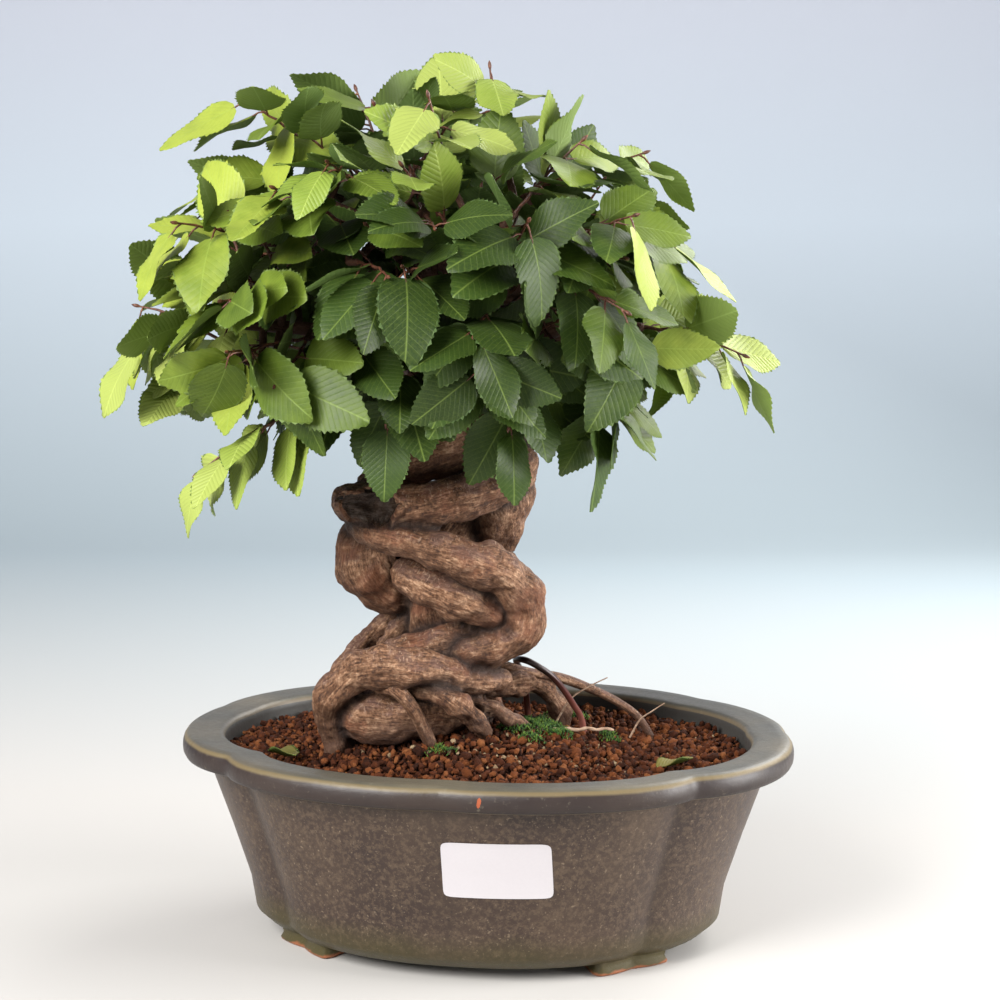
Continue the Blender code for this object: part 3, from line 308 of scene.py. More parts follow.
# Lights: place, aim, size, power and colour
LIGHTS = {
    "key": ((-560, -620, 600), (0, 0, 160), 520, 18.5, (1.0, 0.985, 0.96)),
    "fill": ((900, -190, 300), (0, 0, 110), 560, 17.0, (1.0, 0.985, 0.97)),
    "behind": ((560, 560, 660), (0, 0, 180), 600, 9.5, (1.0, 1.0, 0.97)),
}
# The even light of the room
ROOM_COLOUR = (0.90, 0.95, 1.0, 1)
ROOM_STRENGTH = 0.45
# The stage: half its width, where its floor starts and bends, the bend's radius, and its top
STAGE_HALF_WIDTH = 2600.0
STAGE_FRONT = -1200.0
STAGE_BEND = 900.0
BEND_RADIUS = 500.0
STAGE_TOP = 2600.0


def to_pot_plan(across, away):
    """Across and away of the viewing frame, turned by VIEW_TURN into the pot's own plan."""
    x = across * math.cos(VIEW_TURN) - away * math.sin(VIEW_TURN)
    y = across * math.sin(VIEW_TURN) + away * math.cos(VIEW_TURN)
    return x, y


def in_pot(points):
    """Points of the viewing frame in the pot's frame: turned in plan and moved by POT_PLACE."""
    points = np.asarray(points, float)
    x, y = to_pot_plan(points[..., 0], points[..., 1])
    return np.stack([x + POT_PLACE[0], y + POT_PLACE[1], points[..., 2]], axis=-1)


def smooth_route(points, steps):
    """A Catmull-Rom curve: each stretch is the cubic through its ends with half the chord slopes."""
    knots = [np.array(point, float) for point in points]
    knots = [2 * knots[0] - knots[1], *knots, 2 * knots[-1] - knots[-2]]
    route = []
    for a, b, c, d in zip(knots, knots[1:], knots[2:], knots[3:]):
        for step in range(steps):
            t = step / steps
            route.append(
                0.5 * (2 * b + (c - a) * t + (2 * a - 5 * b + 4 * c - d) * t**2
                       + (3 * b - a - 3 * c + d) * t**3)
            )
    route.append(knots[-2])
    return route


def run_along(route):
    """How far along the route each of its points lies."""
    return np.concatenate([[0.0], np.cumsum(np.linalg.norm(np.diff(route, axis=0), axis=1))])


def ripple(places, length, seed):
    """Smooth noise from about -1 to 1: sines in random directions, of about that wavelength,
    summed and divided by the root of their number."""
    draw = np.random.default_rng(seed)
    ways = draw.normal(size=(RIPPLE_WAVES, 3))
    ways /= np.linalg.norm(ways, axis=1, keepdims=True)
    ways *= 2 * np.pi / (length * draw.uniform(0.6, 1.6, (RIPPLE_WAVES, 1)))
    shifts = draw.uniform(0, 2 * np.pi, RIPPLE_WAVES)
    total = np.zeros(places.shape[:-1])
    for way, shift in zip(ways, shifts):
        total += np.sin(places @ way + shift)
    return total / math.sqrt(RIPPLE_WAVES)


# Meshes from arrays


def quads_of(rows, columns, wrap):
    """The corners of each cell of a grid, row by row; wrapped, its last column meets the first."""
    last = columns if wrap else columns - 1
    i, j = np.meshgrid(np.arange(rows - 1), np.arange(last), indexing="ij")
    k = (j + 1) % columns
    low, high = i * columns, (i + 1) * columns
    return np.stack([low + j, low + k, high + k, high + j], -1).reshape(-1, 4)


def closing_fans(rows, sides):
    """The triangles from each end ring of a stack to its pole; the poles come after the rings."""
    k = np.arange(sides)
    after = (k + 1) % sides
    top = (rows - 1) * sides
    low = np.stack([np.full(sides, rows * sides), after, k], -1)
    high = np.stack([np.full(sides, rows * sides + 1), top + k, top + after], -1)
    return low, high


def build_mesh(name, points, polygons, kinds=None, smooth=True):
    """A mesh in metres from points in millimetres and arrays of faces, each as its corners.

    kinds holds a material number for each array of faces, or an array of them.
    """
    mesh = bpy.data.meshes.new(name)
    corners = np.concatenate([part.ravel() for part in polygons]).astype(np.int32)
    sizes = np.concatenate([np.full(len(part), part.shape[1]) for part in polygons])
    starts = (np.cumsum(sizes) - sizes).astype(np.int32)
    mesh.vertices.add(len(points))
    mesh.vertices.foreach_set("co", (np.asarray(points) * MM).astype(np.float32).ravel())
    mesh.loops.add(len(corners))
    mesh.loops.foreach_set("vertex_index", corners)
    mesh.polygons.add(len(sizes))
    mesh.polygons.foreach_set("loop_start", starts)
    if kinds is not None:
        parts = [np.broadcast_to(kind, len(part)) for kind, part in zip(kinds, polygons)]
        mesh.polygons.foreach_set("material_index", np.concatenate(parts).astype(np.int32))
    mesh.update(calc_edges=True)
    mesh.validate()
    if smooth:
        mesh.shade_smooth()
    return mesh


def add_number(mesh, name, values):
    """A value at each vertex, under a name that a material reads."""
    attribute = mesh.attributes.new(name, "FLOAT", "POINT")
    attribute.data.foreach_set("value", np.asarray(values, np.float32).ravel())


def add_vector(mesh, name, values):
    """A place or direction at each vertex, under a name that a material reads."""
    attribute = mesh.attributes.new(name, "FLOAT_VECTOR", "POINT")
    attribute.data.foreach_set("vector", np.asarray(values, np.float32).ravel())


def linked(name, data):
    """A new object that shows the data in the scene."""
    obj = bpy.data.objects.new(name, data)
    bpy.context.scene.collection.objects.link(obj)
    return obj


def finished_mesh(obj):
    """The object's mesh with its modifiers worked out."""
    graph = bpy.context.evaluated_depsgraph_get()
    return bpy.data.meshes.new_from_object(obj.evaluated_get(graph))


def piece_from(mesh, finishes, slot, *nodes):
    """Makes the mesh a piece of the tree: its finishes, and the nodes it stands for. The slot is not
    used.
    """
    obj = linked(mesh.name, mesh)
    for finish in finishes:
        mesh.materials.append(finish)
    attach(obj, "root")
    if nodes:
        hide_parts(*nodes)
    return obj


class Heap:
    """Collects surfaces into one mesh: their points, faces, material numbers and values at points."""

    def __init__(self):
        self.points = []
        self.faces = []
        self.kinds = []
        self.values = {}
        self.count = 0

    def add(self, points, faces, kind=0, **values):
        """Adds a surface; kind is one material number for all its arrays of faces, or a list."""
        points = np.asarray(points, float).reshape(-1, 3)
        kinds = kind if isinstance(kind, (list, tuple)) else [kind] * len(faces)
        for part, number in zip(faces, kinds):
            self.faces.append(part + self.count)
            self.kinds.append(number)
        self.points.append(points)
        for name, value in values.items():
            value = np.asarray(value, float)
            at_points = np.broadcast_to(value, (len(points), *value.shape[1:]))
            self.values.setdefault(name, []).append(at_points)
        self.count += len(points)

    def add_tube(self, route, radii, sides, kind=0, grain_name=None, swell=None, **values):
        """A closed tube laid out in the viewing frame, with its grain under that name."""
        points, faces, grain = swept(route, radii, sides, swell)
        if grain_name:
            values[grain_name] = grain
        self.add(in_pot(points), faces, kind, **values)

    def mesh(self, name, smooth=True):
        mesh = build_mesh(name, np.concatenate(self.points), self.faces, self.kinds, smooth)
        for key, parts in self.values.items():
            values = np.concatenate(parts)
            (add_vector if values.ndim == 2 else add_number)(mesh, key, values)
        return mesh


def carried_frames(route):
    """Directions along a route, and two across it that turn with it as little as they can."""
    ahead = np.gradient(route, axis=0)
    ahead /= np.linalg.norm(ahead, axis=1, keepdims=True)
    across = np.zeros_like(ahead)
    start = np.cross(ahead[0], (0.0, 0.0, 1.0) if abs(ahead[0][2]) < 0.9 else (1.0, 0.0, 0.0))
    across[0] = start / np.linalg.norm(start)
    for i in range(1, len(route)):
        turned = across[i - 1] - ahead[i] * (across[i - 1] @ ahead[i])
        across[i] = turned / np.linalg.norm(turned)
    return ahead, across, np.cross(ahead, across)


def swept(route, radii, sides, swell):
    """A closed tube. Each ring is its centre plus radius times the cosine and sine of a turn
    along two directions across the route. At both ends rings shrink over a half ball to a pole.
    Returns points, faces, and for each point its distance along and its offset across."""
    route = np.asarray(route, float)
    radii = np.asarray(radii, float)
    ahead, across, other = carried_frames(route)
    bows = np.radians([68.0, 40.0, 15.0])
    front = [route[0] - ahead[0] * radii[0] * math.sin(bow) for bow in bows]
    back = [route[-1] + ahead[-1] * radii[-1] * math.sin(bow) for bow in bows[::-1]]
    centres = np.concatenate([front, route, back])
    girths = np.concatenate([radii[0] * np.cos(bows), radii, radii[-1] * np.cos(bows[::-1])])
    ends = ((len(bows), len(bows)), (0, 0))
    across, other = (np.pad(ways, ends, mode="edge")[:, None, :] for ways in (across, other))
    turns = np.linspace(0, 2 * np.pi, sides, endpoint=False)
    along = run_along(centres)
    reach = np.broadcast_to(girths[:, None], (len(centres), sides)).copy()
    if swell is not None:
        reach *= swell(along[:, None], turns[None, :])
    flat = np.stack([reach * np.cos(turns), reach * np.sin(turns)], -1)
    rings = centres[:, None, :] + flat[..., :1] * across + flat[..., 1:] * other
    poles = np.array([route[0] - ahead[0] * radii[0], route[-1] + ahead[-1] * radii[-1]])
    points = np.concatenate([rings.reshape(-1, 3), poles])
    grain = np.concatenate([np.broadcast_to(along[:, None, None], (*reach.shape, 1)), flat], -1)
    pole_grain = np.array([[along[0], 0, 0], [along[-1], 0, 0]])
    grain = np.concatenate([grain.reshape(-1, 3), pole_grain])
    rows = len(centres)
    return points, [quads_of(rows, sides, True), *closing_fans(rows, sides)], grain


# Where the shoots and their leaves stand, drawn as the solids draw them


def leaf_half_width(t):
    """Half width of a leaf, as a share of its widest, at a share t of its length."""
    return math.sin(math.pi * t**0.78) ** 0.8


def leaf_solid(length, width, fold, droop, grow, stalk):
    """Points and triangles of the plain toothed leaf that the clearance tests use, grown all
    round, with its stalk's end that far before the blade."""
    half = LEAF_THICKNESS / 2 + grow
    reach = width / 2

    def spot(t, side, share, level):
        x = side * (reach * leaf_half_width(t) * share + grow)
        y = length * t
        return (x, y, abs(x) * fold - droop * length * t * t + level)

    points = []

    def add(point):
        points.append(point)
        return len(points) - 1

    thin = PETIOLE_RADIUS
    root = PETIOLE_ROOT
    for corner in ((-root, -stalk, root), (root, -stalk, root), (0, -stalk, -root)):
        add(corner)
    base = [add((-thin, 0, half)), add((thin, 0, half)), add((0, 0, -half))]
    middle = [add(spot(0.48, 0, 0, half)), add(spot(0.48, 0, 0, -half))]
    tip = add((0, length + grow, -droop * length + half))
    faces = [(0, 1, 4), (0, 4, 3), (0, 2, 1), (0, 3, 5), (0, 5, 2), (1, 2, 5), (1, 5, 4)]
    faces.append((base[0], base[1], middle[0]))
    for side in (-1, 1):
        upper = [base[0] if side < 0 else base[1]]
        lower = [base[2]]
        teeth = []
        for i, place in enumerate(TOOTH_PLACES):
            teeth.append(add(spot(place, side, 1.0, half)))
            if i < len(NOTCH_PLACES):
                upper.append(add(spot(NOTCH_PLACES[i], side, NOTCH_DEPTH, half)))
                lower.append(add(spot(NOTCH_PLACES[i], side, NOTCH_DEPTH, -half)))
        upper.append(tip)
        lower.append(tip)
        for i, tooth in enumerate(teeth):
            near, far = upper[i], upper[i + 1]
            below, beyond = lower[i], lower[i + 1]
            faces += [(middle[0], near, tooth), (middle[0], tooth, far)]
            faces += [(near, below, tooth), (tooth, below, beyond), (middle[1], beyond, below)]
            if beyond != far:
                faces.append((tooth, beyond, far))
    return points, faces


def leaf_matrix(base, ahead, up):
    """The turn and place that lay a leaf's Y along ahead and its Z near up."""
    y = Vector(ahead).normalized()
    x = y.cross(Vector(up)).normalized()
    z = x.cross(y)
    turn = Matrix((x, y, z)).transposed().to_4x4()
    return Matrix.Translation(Vector(base)) @ turn


def blade_tree(leaf):
    """A search tree of a leaf's blade with a gap round it."""
    points, faces = leaf_solid(*leaf["size"], grow=LEAF_GAP, stalk=-0.5)
    matrix = leaf_matrix(leaf["base"], leaf["ahead"], leaf["up"])
    return BVHTree.FromPolygons([matrix @ Vector(point) for point in points], faces)


def tube_tree(route, radii, sides=6):
    """A search tree of a tube: a ring round each point of the route, at right angles to it."""
    points = []
    for i, place in enumerate(route):
        along = Vector(route[min(i + 1, len(route) - 1)]) - Vector(route[max(i - 1, 0)])
        across = along.orthogonal().normalized()
        other = along.cross(across).normalized()
        for k in range(sides):
            turn = 2 * math.pi * k / sides
            ring = across * math.cos(turn) + other * math.sin(turn)
            points.append(Vector(place) + ring * radii[i])
    return BVHTree.FromPolygons(points, quads_of(len(route), sides, True).tolist())


def crown_reach(direction):
    """How far the crown reaches from its centre: an oval with its own reach to each side,
    a little lower where it rises to the right."""
    x, y, z = direction
    wide = CROWN_REACH["right"] if x > 0 else CROWN_REACH["left"]
    tall = CROWN_REACH["up"] * (1 - UP_RIGHT_CUT * max(0.0, x)) if z > 0 else CROWN_REACH["down"]
    terms = (abs(x) / wide, abs(y) / CROWN_REACH["depth"], abs(z) / tall)
    return sum(term**CROWN_POWER for term in terms) ** (-1 / CROWN_POWER)


def spiral_direction(index, count, lowest):
    """The index-th of count even directions, from straight up down to the lowest height."""
    height = 1 - (index + 0.5) / count * (1 - lowest)
    turn = index * math.pi * (3 - math.sqrt(5))
    flat = math.sqrt(1 - height * height)
    return Vector((flat * math.cos(turn), flat * math.sin(turn), height))


def nearest_wood(spot):
    """The place on the crown's limbs where a branchlet to the spot starts, and its radius there.

    The cost of a place is its distance, twice what it lies farther out than the spot, and 30
    over the limb's radius, so that near, inner and thick places win.
    """
    centre = Vector(CROWN_CENTRE)
    best = None
    for points in BRANCHES.values():
        for point in smooth_route(points, 4)[4:]:
            place = Vector(point[:3])
            outward = max(0.0, (place - centre).length - (spot - centre).length)
            cost = (place - spot).length + 2 * outward + 30 / point[3]
            if best is None or cost < best[0]:
                best = (cost, place, float(point[3]))
    return best[1], best[2]


def branchlet_route(start, base, ahead):
    """A bow from the limb to the twig's base, whose last part runs straight along the twig."""
    span = (base - start).length
    return [start, base - ahead * min(0.45 * span, 14.0), base]


def twig_from(base, ahead, length):
    """A twig that sets off along ahead, then turns a little outwards and down."""
    middle = base + ahead * length / 2
    radial = (middle - Vector(CROWN_CENTRE)).normalized()
    after = (ahead * 0.8 + radial * 0.35 - Vector((0, 0, 0.2))).normalized()
    return [base, middle, middle + after * length / 2]


def drawn_shoot(shoots, wood, draw, aim, tries=TRIES):
    """A twig near the aim with its branchlet, clear of every earlier one, or None."""
    centre = Vector(CROWN_CENTRE)
    for _ in range(tries):
        jitter = Vector([draw.uniform(-1, 1) for _ in range(3)])
        tip = aim + jitter * 4.0
        radial = (tip - centre).normalized()
        ahead = (radial + jitter.cross(radial) * 0.7).normalized()
        route = twig_from(tip - ahead * TWIG_LENGTH, ahead, TWIG_LENGTH)
        start, thick = nearest_wood(route[0])
        if (route[0] - start).normalized().dot(ahead) < LEAST_RUN_ON:
            continue
        stem = branchlet_route(start, route[0] - ahead * GAP, ahead)
        shoot = shoot_on(route, stem, thick)
        if is_clear(shoot, shoots, wood):
            return shoot
    return None


def end_shoot(name):
    """The twig that goes on from the end of a limb, a gap past it."""
    end, before = (Vector(point[:3]) for point in BRANCHES[name][:-3:-1])
    ahead = (end - before).normalized()
    route = twig_from(end + ahead * GAP, ahead, TWIG_LENGTH)
    if name in TWIG_TIPS:
        tip = Vector(TWIG_TIPS[name])
        route[1] = route[0] + ahead * (tip - route[0]).length * 0.45
        route[2] = tip
    return shoot_on(route, [], 0)


def shoot_on(route, stem, thick):
    """A twig's route and radii, and those of the branchlet that carries it."""
    return {
        "route": route,
        "radii": np.linspace(*TWIG_RADII, len(route)).tolist(),
        "stem": stem,
        "stem_radii": np.linspace(min(thick * 0.7, 1.6), TWIG_RADII[0] + 0.1, len(stem)).tolist(),
        "leaves": [],
    }


def is_clear(shoot, shoots, wood):
    """Whether a twig clears the limbs and all other stems, and its branchlet all other twigs."""
    first = shoot["route"][0].lerp(shoot["route"][1], 0.0 if shoot["stem"] else 0.2)
    twig = tube_tree([first, *shoot["route"][1:]], [radius + LEAF_GAP for radius in shoot["radii"]])
    if any(twig.overlap(tree) for tree in wood):
        return False
    shoot["trees"] = [tube_tree(shoot["route"], shoot["radii"])]
    for other in shoots:
        if any(twig.overlap(tree) for tree in other["trees"]):
            return False
    if shoot["stem"]:
        stem = tube_tree(shoot["stem"], [radius + LEAF_GAP for radius in shoot["stem_radii"]])
        if any(stem.overlap(other["trees"][0]) for other in shoots):
            return False
        shoot["trees"].append(tube_tree(shoot["stem"], shoot["stem_radii"]))
    return True


def wood_trees():
    """Search trees of the trunk's limbs and of the crown's, out to the solids' corners."""
    corner = 1 / math.cos(math.pi / 4) ** 0.5
    trees = []
    for points in [*LIMBS.values(), *BRANCHES.values()]:
        smooth = smooth_route(points, 2)
        radii = [float(point[3]) * corner for point in smooth]
        trees.append(tube_tree([Vector(point[:3]) for point in smooth], radii, 8))
    return trees


def is_outer(out):
    """Whether a direction from the crown's centre points to its upper or its left or right edge."""
    return out.z > 0.35 or abs(out.x) > 0.75


def place_shoots(wood):
    """Every twig of the solids: one at each limb's end, then an even spread with branchlets."""
    draw = random.Random(7)
    centre = Vector(CROWN_CENTRE)
    shoots = []
    for name in BRANCHES:
        shoot = end_shoot(name)
        if is_clear(shoot, shoots, wood):
            shoot["young"] = name in ("left", "left_low", "right")
            shoot["free"] = name in TWIG_TIPS
            shoots.append(shoot)
    for i in range(SPREAD_SHOOTS):
        out = spiral_direction(i, SPREAD_SHOOTS, LOWEST_SPREAD)
        overhang = LEAF_OVERHANG * (1 - TOP_OVERHANG_CUT * max(0.0, out.z))
        aim = centre + out * (crown_reach(out) - overhang)
        shoot = drawn_shoot(shoots, wood, draw, aim)
        if shoot:
            shoot["young"] = is_outer(out) and draw.random() < YOUNG_SHARE
            shoot["free"] = False
            shoots.append(shoot)
    return shoots


def outside_crown(spot):
    """Whether the spot lies outside the crown's oval."""
    out = spot - Vector(CROWN_CENTRE)
    return out.length > crown_reach(out.normalized())


def leaf_draw(shoot, place, side, draw, slack, lift):
    """One leaf at a place along its twig: it points ahead, to its side, out and down by the sag,
    with its face out and up. The lift takes that much from the sag of the filling leaves."""
    route = shoot["route"]
    step = place * (len(route) - 1)
    index = min(int(step), len(route) - 2)
    root = route[index].lerp(route[index + 1], step - index)
    along = (route[index + 1] - route[index]).normalized()
    out = (root - Vector(CROWN_CENTRE)).normalized()
    level = (root.z - CROWN_CENTRE[2]) / CROWN_REACH["up"]
    sag = 0.85 - 0.25 * level - lift
    across = along.cross(Vector((0, 0, 1))).normalized()
    wild = Vector([draw.gauss(0, slack) for _ in range(3)])
    spread = 0.0 if place == LAST_LEAF else 0.85
    ahead = along * 0.5 + across * side * spread + out * 0.25 - Vector((0, 0, sag)) + wild
    ahead.normalize()
    face = out * 1.1 + Vector((0, 0, 0.3)) + across * side * 0.3
    face += Vector([draw.gauss(0, slack) for _ in range(3)])
    low, high = LEAF_LENGTH
    length = draw.uniform(low, high) * (1.0 - 0.18 * place if shoot["young"] else 1.0)
    size = (length, length * LEAF_ASPECT * draw.uniform(0.9, 1.08), draw.uniform(0.06, 0.22),
            draw.uniform(0.08, 0.26))
    base = root + ahead * PETIOLE
    return {"root": root, "base": base, "ahead": ahead, "up": face, "size": size}


def place_leaves(shoots, wood):
    """Gives each twig its leaves, alternately to each side, each clear of all that is there."""
    draw = random.Random(11)
    blades = []
    for number in range(LEAVES_ON_A_TWIG):
        for shoot in shoots[: len(BRANCHES) if number == LEAVES_ON_A_TWIG - 1 else None]:
            place = LAST_LEAF - number * 0.8 / (LEAVES_ON_A_TWIG - 1)
            side = 1 if number % 2 else -1
            add_clear_leaf(shoot, place, side, draw, shoots, wood, blades)
    return blades


def add_clear_leaf(shoot, place, side, draw, shoots, wood, blades, tries=TRIES, lift=0.0):
    """Draws a leaf until it is clear of blades, stalks, limbs and twigs, ever more freely, and
    gives it to the shoot. After that many tries the place stays bare."""
    for attempt in range(tries):
        leaf = leaf_draw(shoot, place, side, draw, 0.12 + 0.5 * attempt / tries, lift)
        tree = blade_tree(leaf)
        middle = leaf["base"] + leaf["ahead"] * leaf["size"][0] / 2
        if not shoot["free"] and outside_crown(middle * 2 - leaf["base"]):
            continue
        stalk = tube_tree([leaf["root"] + leaf["ahead"] * 2, leaf["base"]], [0.9, 0.9], 4)
        near = [b for b in blades if (b[0] - middle).length < BLADES_APART]
        if any(tree.overlap(b[1]) or tree.overlap(b[2]) or stalk.overlap(b[1]) for b in near):
            continue
        if any(tree.overlap(other) for other in wood):
            continue
        if any(tree.overlap(stem) for other in shoots for stem in other["trees"]):
            continue
        others = [other for other in shoots if other is not shoot]
        if any(stalk.overlap(stem) for other in others for stem in other["trees"]):
            continue
        shoot["leaves"].append(leaf)
        blades.append((middle, tree, stalk))
        return


def fill_crown(shoots, wood, blades):
    """Inner shoots between the solids' ones, and more leaves on every twig, to the real density.

    Along its twig each new leaf stands 0.37 of the way on from the last, round and round.
    """
    draw = random.Random(23)
    centre = Vector(CROWN_CENTRE)
    count = len(shoots)
    for i in range(FILL_SHOOTS):
        out = spiral_direction(i, FILL_SHOOTS, LOWEST_FILL)
        share = FILL_DEPTHS[i % len(FILL_DEPTHS)]
        aim = centre + out * (crown_reach(out) * share - LEAF_OVERHANG * share)
        shoot = drawn_shoot(shoots, wood, draw, aim, FILL_TRIES)
        if shoot:
            outer = share == FILL_DEPTHS[0] and is_outer(out)
            shoot["young"] = outer and draw.random() < YOUNG_SHARE * 0.7
            shoot["free"] = False
            shoots.append(shoot)
    for number in range(LEAVES_ON_A_TWIG + EXTRA_LEAVES):
        for i, shoot in enumerate(shoots):
            if number < LEAVES_ON_A_TWIG - 1 and i < count:
                continue
            place = 0.90 - 0.86 * ((number * 0.37) % 1.0)
            side = 1 if number % 2 else -1
            lift = draw.uniform(0.0, 1.15)
            add_clear_leaf(shoot, place, side, draw, shoots, wood, blades, FILL_TRIES, lift)


# Leaves


def leaf_sheets(length, width, fold, droop, wave, twist):
    """Upper and lower sheet of one fine leaf, in a few dozen faces.

    The half width at a share t of the length is sin(pi * t^0.70)^(0.44 + 0.32 t) of the widest,
    and the edge steps out and forward at each tooth and in at each notch, with every third tooth
    longer. The blade rises from the midrib by the fold, steeper at first, sinks by the droop with
    t squared, waves at its edge, and turns by the twist from base to tip. Each half has SPANS
    cells from the midrib to the share INNER of its width, and as many from there out, with
    TEETH / SPANS teeth on the rim of each. The sheets meet along the edge and stand BLADE apart
    inside it.
    """
    step = 2 * TEETH // SPANS
    t = np.linspace(0.0, 1.0, 2 * TEETH + 1)
    half = np.sin(np.pi * np.clip(t, 0.004, 0.996) ** 0.70) ** (0.44 + 0.32 * t)
    odd = np.arange(len(t)) % 2 == 1
    tooth = np.where(odd, 1.015, 0.95)
    tooth[1::6] += 0.045
    forward = np.where(odd, 0.35 / TEETH, 0.0)

    def line(share, level, rows, jag, shift):
        along, girth = t[rows], half[rows]
        x = width / 2 * girth * share * jag
        z = np.abs(x) * fold * (1.4 - 0.4 * abs(share)) - droop * length * along**2
        z = z + wave * abs(share) * np.sin(along * 7.5 + np.sign(share) * 1.7 + twist * 9.0) * girth
        lean = twist * along
        across = x * np.cos(lean) - z * np.sin(lean)
        height = x * np.sin(lean) + z * np.cos(lean) + level
        return np.stack([across, length * (along + shift), height], -1)

    every = slice(None, None, step)
    lines = [line(0.0, BLADE / 2, every, 1.0, 0.0), line(0.0, -BLADE / 2, every, 1.0, 0.0)]
    for side in (-1.0, 1.0):
        lines += [line(side * INNER, level, every, 1.0, 0.0) for level in (BLADE / 2, -BLADE / 2)]
        lines.append(line(side, 0.0, slice(None), tooth, forward))
    points = np.concatenate(lines)
    shares = (0.0, 0.0, INNER, INNER, 1.0, INNER, INNER, 1.0)
    marks = np.concatenate([np.full(len(row), share) for row, share in zip(lines, shares)])
    flat = np.column_stack([points[:, :2] / length, np.zeros(len(points))])
    n, m = SPANS + 1, 2 * TEETH + 1
    i = np.arange(SPANS)
    left, right = (2 * n, 3 * n, 4 * n), (4 * n + m, 5 * n + m, 6 * n + m)
    upper, under = [], []
    for (high, low, rim), way in ((left, -1), (right, 1)):
        rims = rim + i[:, None] * step + np.arange(step + 1)
        upper.append(np.column_stack([i, high + i, high + i + 1, i + 1])[:, ::way])
        upper.append(np.column_stack([high + i, rims, high + i + 1])[:, ::way])
        under.append(np.column_stack([n + i, n + i + 1, low + i + 1, low + i])[:, ::way])
        under.append(np.column_stack([low + i, low + i + 1, rims[:, ::-1]])[:, ::way])
    base = np.array([n, right[1], right[2], right[0], 0, left[0], left[2], left[1]])
    last = np.array([n, n, m, n, n, n, m, n]) - 1
    ends = np.stack([base, (base + last)[::-1]])
    return points, [*upper, *under, ends], [0, 0, 0, 0, 1, 1, 1, 1, 1], marks, flat


def add_stalk(heap, leaf, tone):
    """The petiole: a thin bowed tube from the twig to the blade's base, and a little into it."""
    root = np.array(leaf["root"])
    base = np.array(leaf["base"])
    ahead = np.array(leaf["ahead"])
    bow = np.array([0.0, 0.0, 0.5])
    route = np.array([root, (root + base) / 2 + bow, base, base + ahead * 1.6])
    radii = (0.42, 0.34, 0.32, 0.2)
    heap.add_tube(route, radii, 5, 2, "vein_place", edge=0.0, tone=tone, scorch=0.0)


def dress_leaf(heap, leaf, draw, young):
    """Adds one leaf with its stalk to the heap, with its own tone, its vein map and its scorch.

    The tone holds painted light and shade: it is higher, so paler, far out, high up, and at both sides,
    most of all the left, where the light falls, and lower, so darker, deep in the crown, with a random
    share of its own. The scorch comes more often low in the crown.
    """
    length, width, fold, droop = leaf["size"]
    wave = draw.uniform(0.5, 1.9)
    droop *= draw.uniform(-0.2, 1.7)
    fold *= FINE_FOLD * draw.uniform(-0.4, 1.9)
    twist = draw.uniform(-0.35, 0.35)
    sheets = leaf_sheets(length, width * FINE_WIDTH, fold, droop, wave, twist)
    points, faces, kinds, marks, flat = sheets
    matrix = np.array(leaf_matrix(leaf["base"], leaf["ahead"], leaf["up"]))
    placed = points @ matrix[:3, :3].T + matrix[:3, 3]
    low = max(0.0, (CROWN_CENTRE[2] - leaf["base"][2]) / CROWN_REACH["down"])
    scorch = draw.random() < 0.14 + 0.42 * low
    across = (leaf["base"][0] - CROWN_CENTRE[0]) / LEAF_LIGHT_REACH[0]
    upward = (leaf["base"][2] - CROWN_CENTRE[2]) / LEAF_LIGHT_REACH[1]
    out = math.hypot(across, upward)
    # Painted light and shade: lit leaves outside, above and to the sides are paler, shaded inner ones
    # darker.
    tone = 0.44 + 0.6 * (out - 0.6) + 0.1 * upward + draw.uniform(-0.32, 0.32)
    tone += 0.45 * (out > 0.72 and draw.random() < 0.3) + 0.75 * max(0.0, abs(across) - 0.3)
    tone += 0.9 * max(0.0, -across - 0.25)
    heap.add(in_pot(placed), faces, kinds, edge=marks, vein_place=flat, tone=tone,
             scorch=draw.uniform(0.4, 1.0) if scorch and not young else 0.0)
    add_stalk(heap, leaf, tone)


def add_bud(heap, place, ahead, length):
    """A pointed bud: a short tube whose radius is a sine's hump along its length."""
    steps = np.linspace(0, 1, 6)
    route = np.array(place) + np.array(ahead) * length * steps[:, None]
    radii = 0.62 * np.sin(np.pi * (0.15 + 0.82 * steps)) ** 0.8 + 0.12
    heap.add_tube(route, radii, 6, 2, "vein_place", edge=0.0, tone=0.9, scorch=0.0)


def dress_shoot(heap, shoot, draw):
    """The fine twig, kinked a little at each leaf, its tip bud, and its leaves."""
    route = np.array(smooth_route(shoot["route"], 5))
    kinks = 0.35 * np.sin(np.arange(len(route)) * 2.4)
    route[1:-1, 2] += kinks[1:-1]
    radii = np.linspace(shoot["radii"][0], shoot["radii"][-1] * 0.7, len(route)) * TWIG_SHARE
    radii *= 1 + 0.12 * np.cos(np.arange(len(route)) * 2.4)
    heap.add_tube(route, radii, 7, 2, "vein_place", edge=0.0, tone=0.5, scorch=0.0)
    ahead = shoot["route"][-1] - shoot["route"][-2]
    add_bud(heap, shoot["route"][-1], ahead.normalized(), 2.8)
    for leaf in shoot["leaves"]:
        dress_leaf(heap, leaf, draw, shoot["young"])


def side_of(shoot):
    """The part of the crown in which a shoot stands, seen from the front."""
    tip = shoot["route"][-1]
    if tip.z > CROWN_CENTRE[2] + TOP_RISE:
        return "top"
    if tip.y > CROWN_CENTRE[1] + BACK_DEPTH:
        return "back"
    if tip.x < CROWN_CENTRE[0] - SIDE_REACH:
        return "left"
    if tip.x > CROWN_CENTRE[0] + SIDE_REACH:
        return "right"
    return "front"


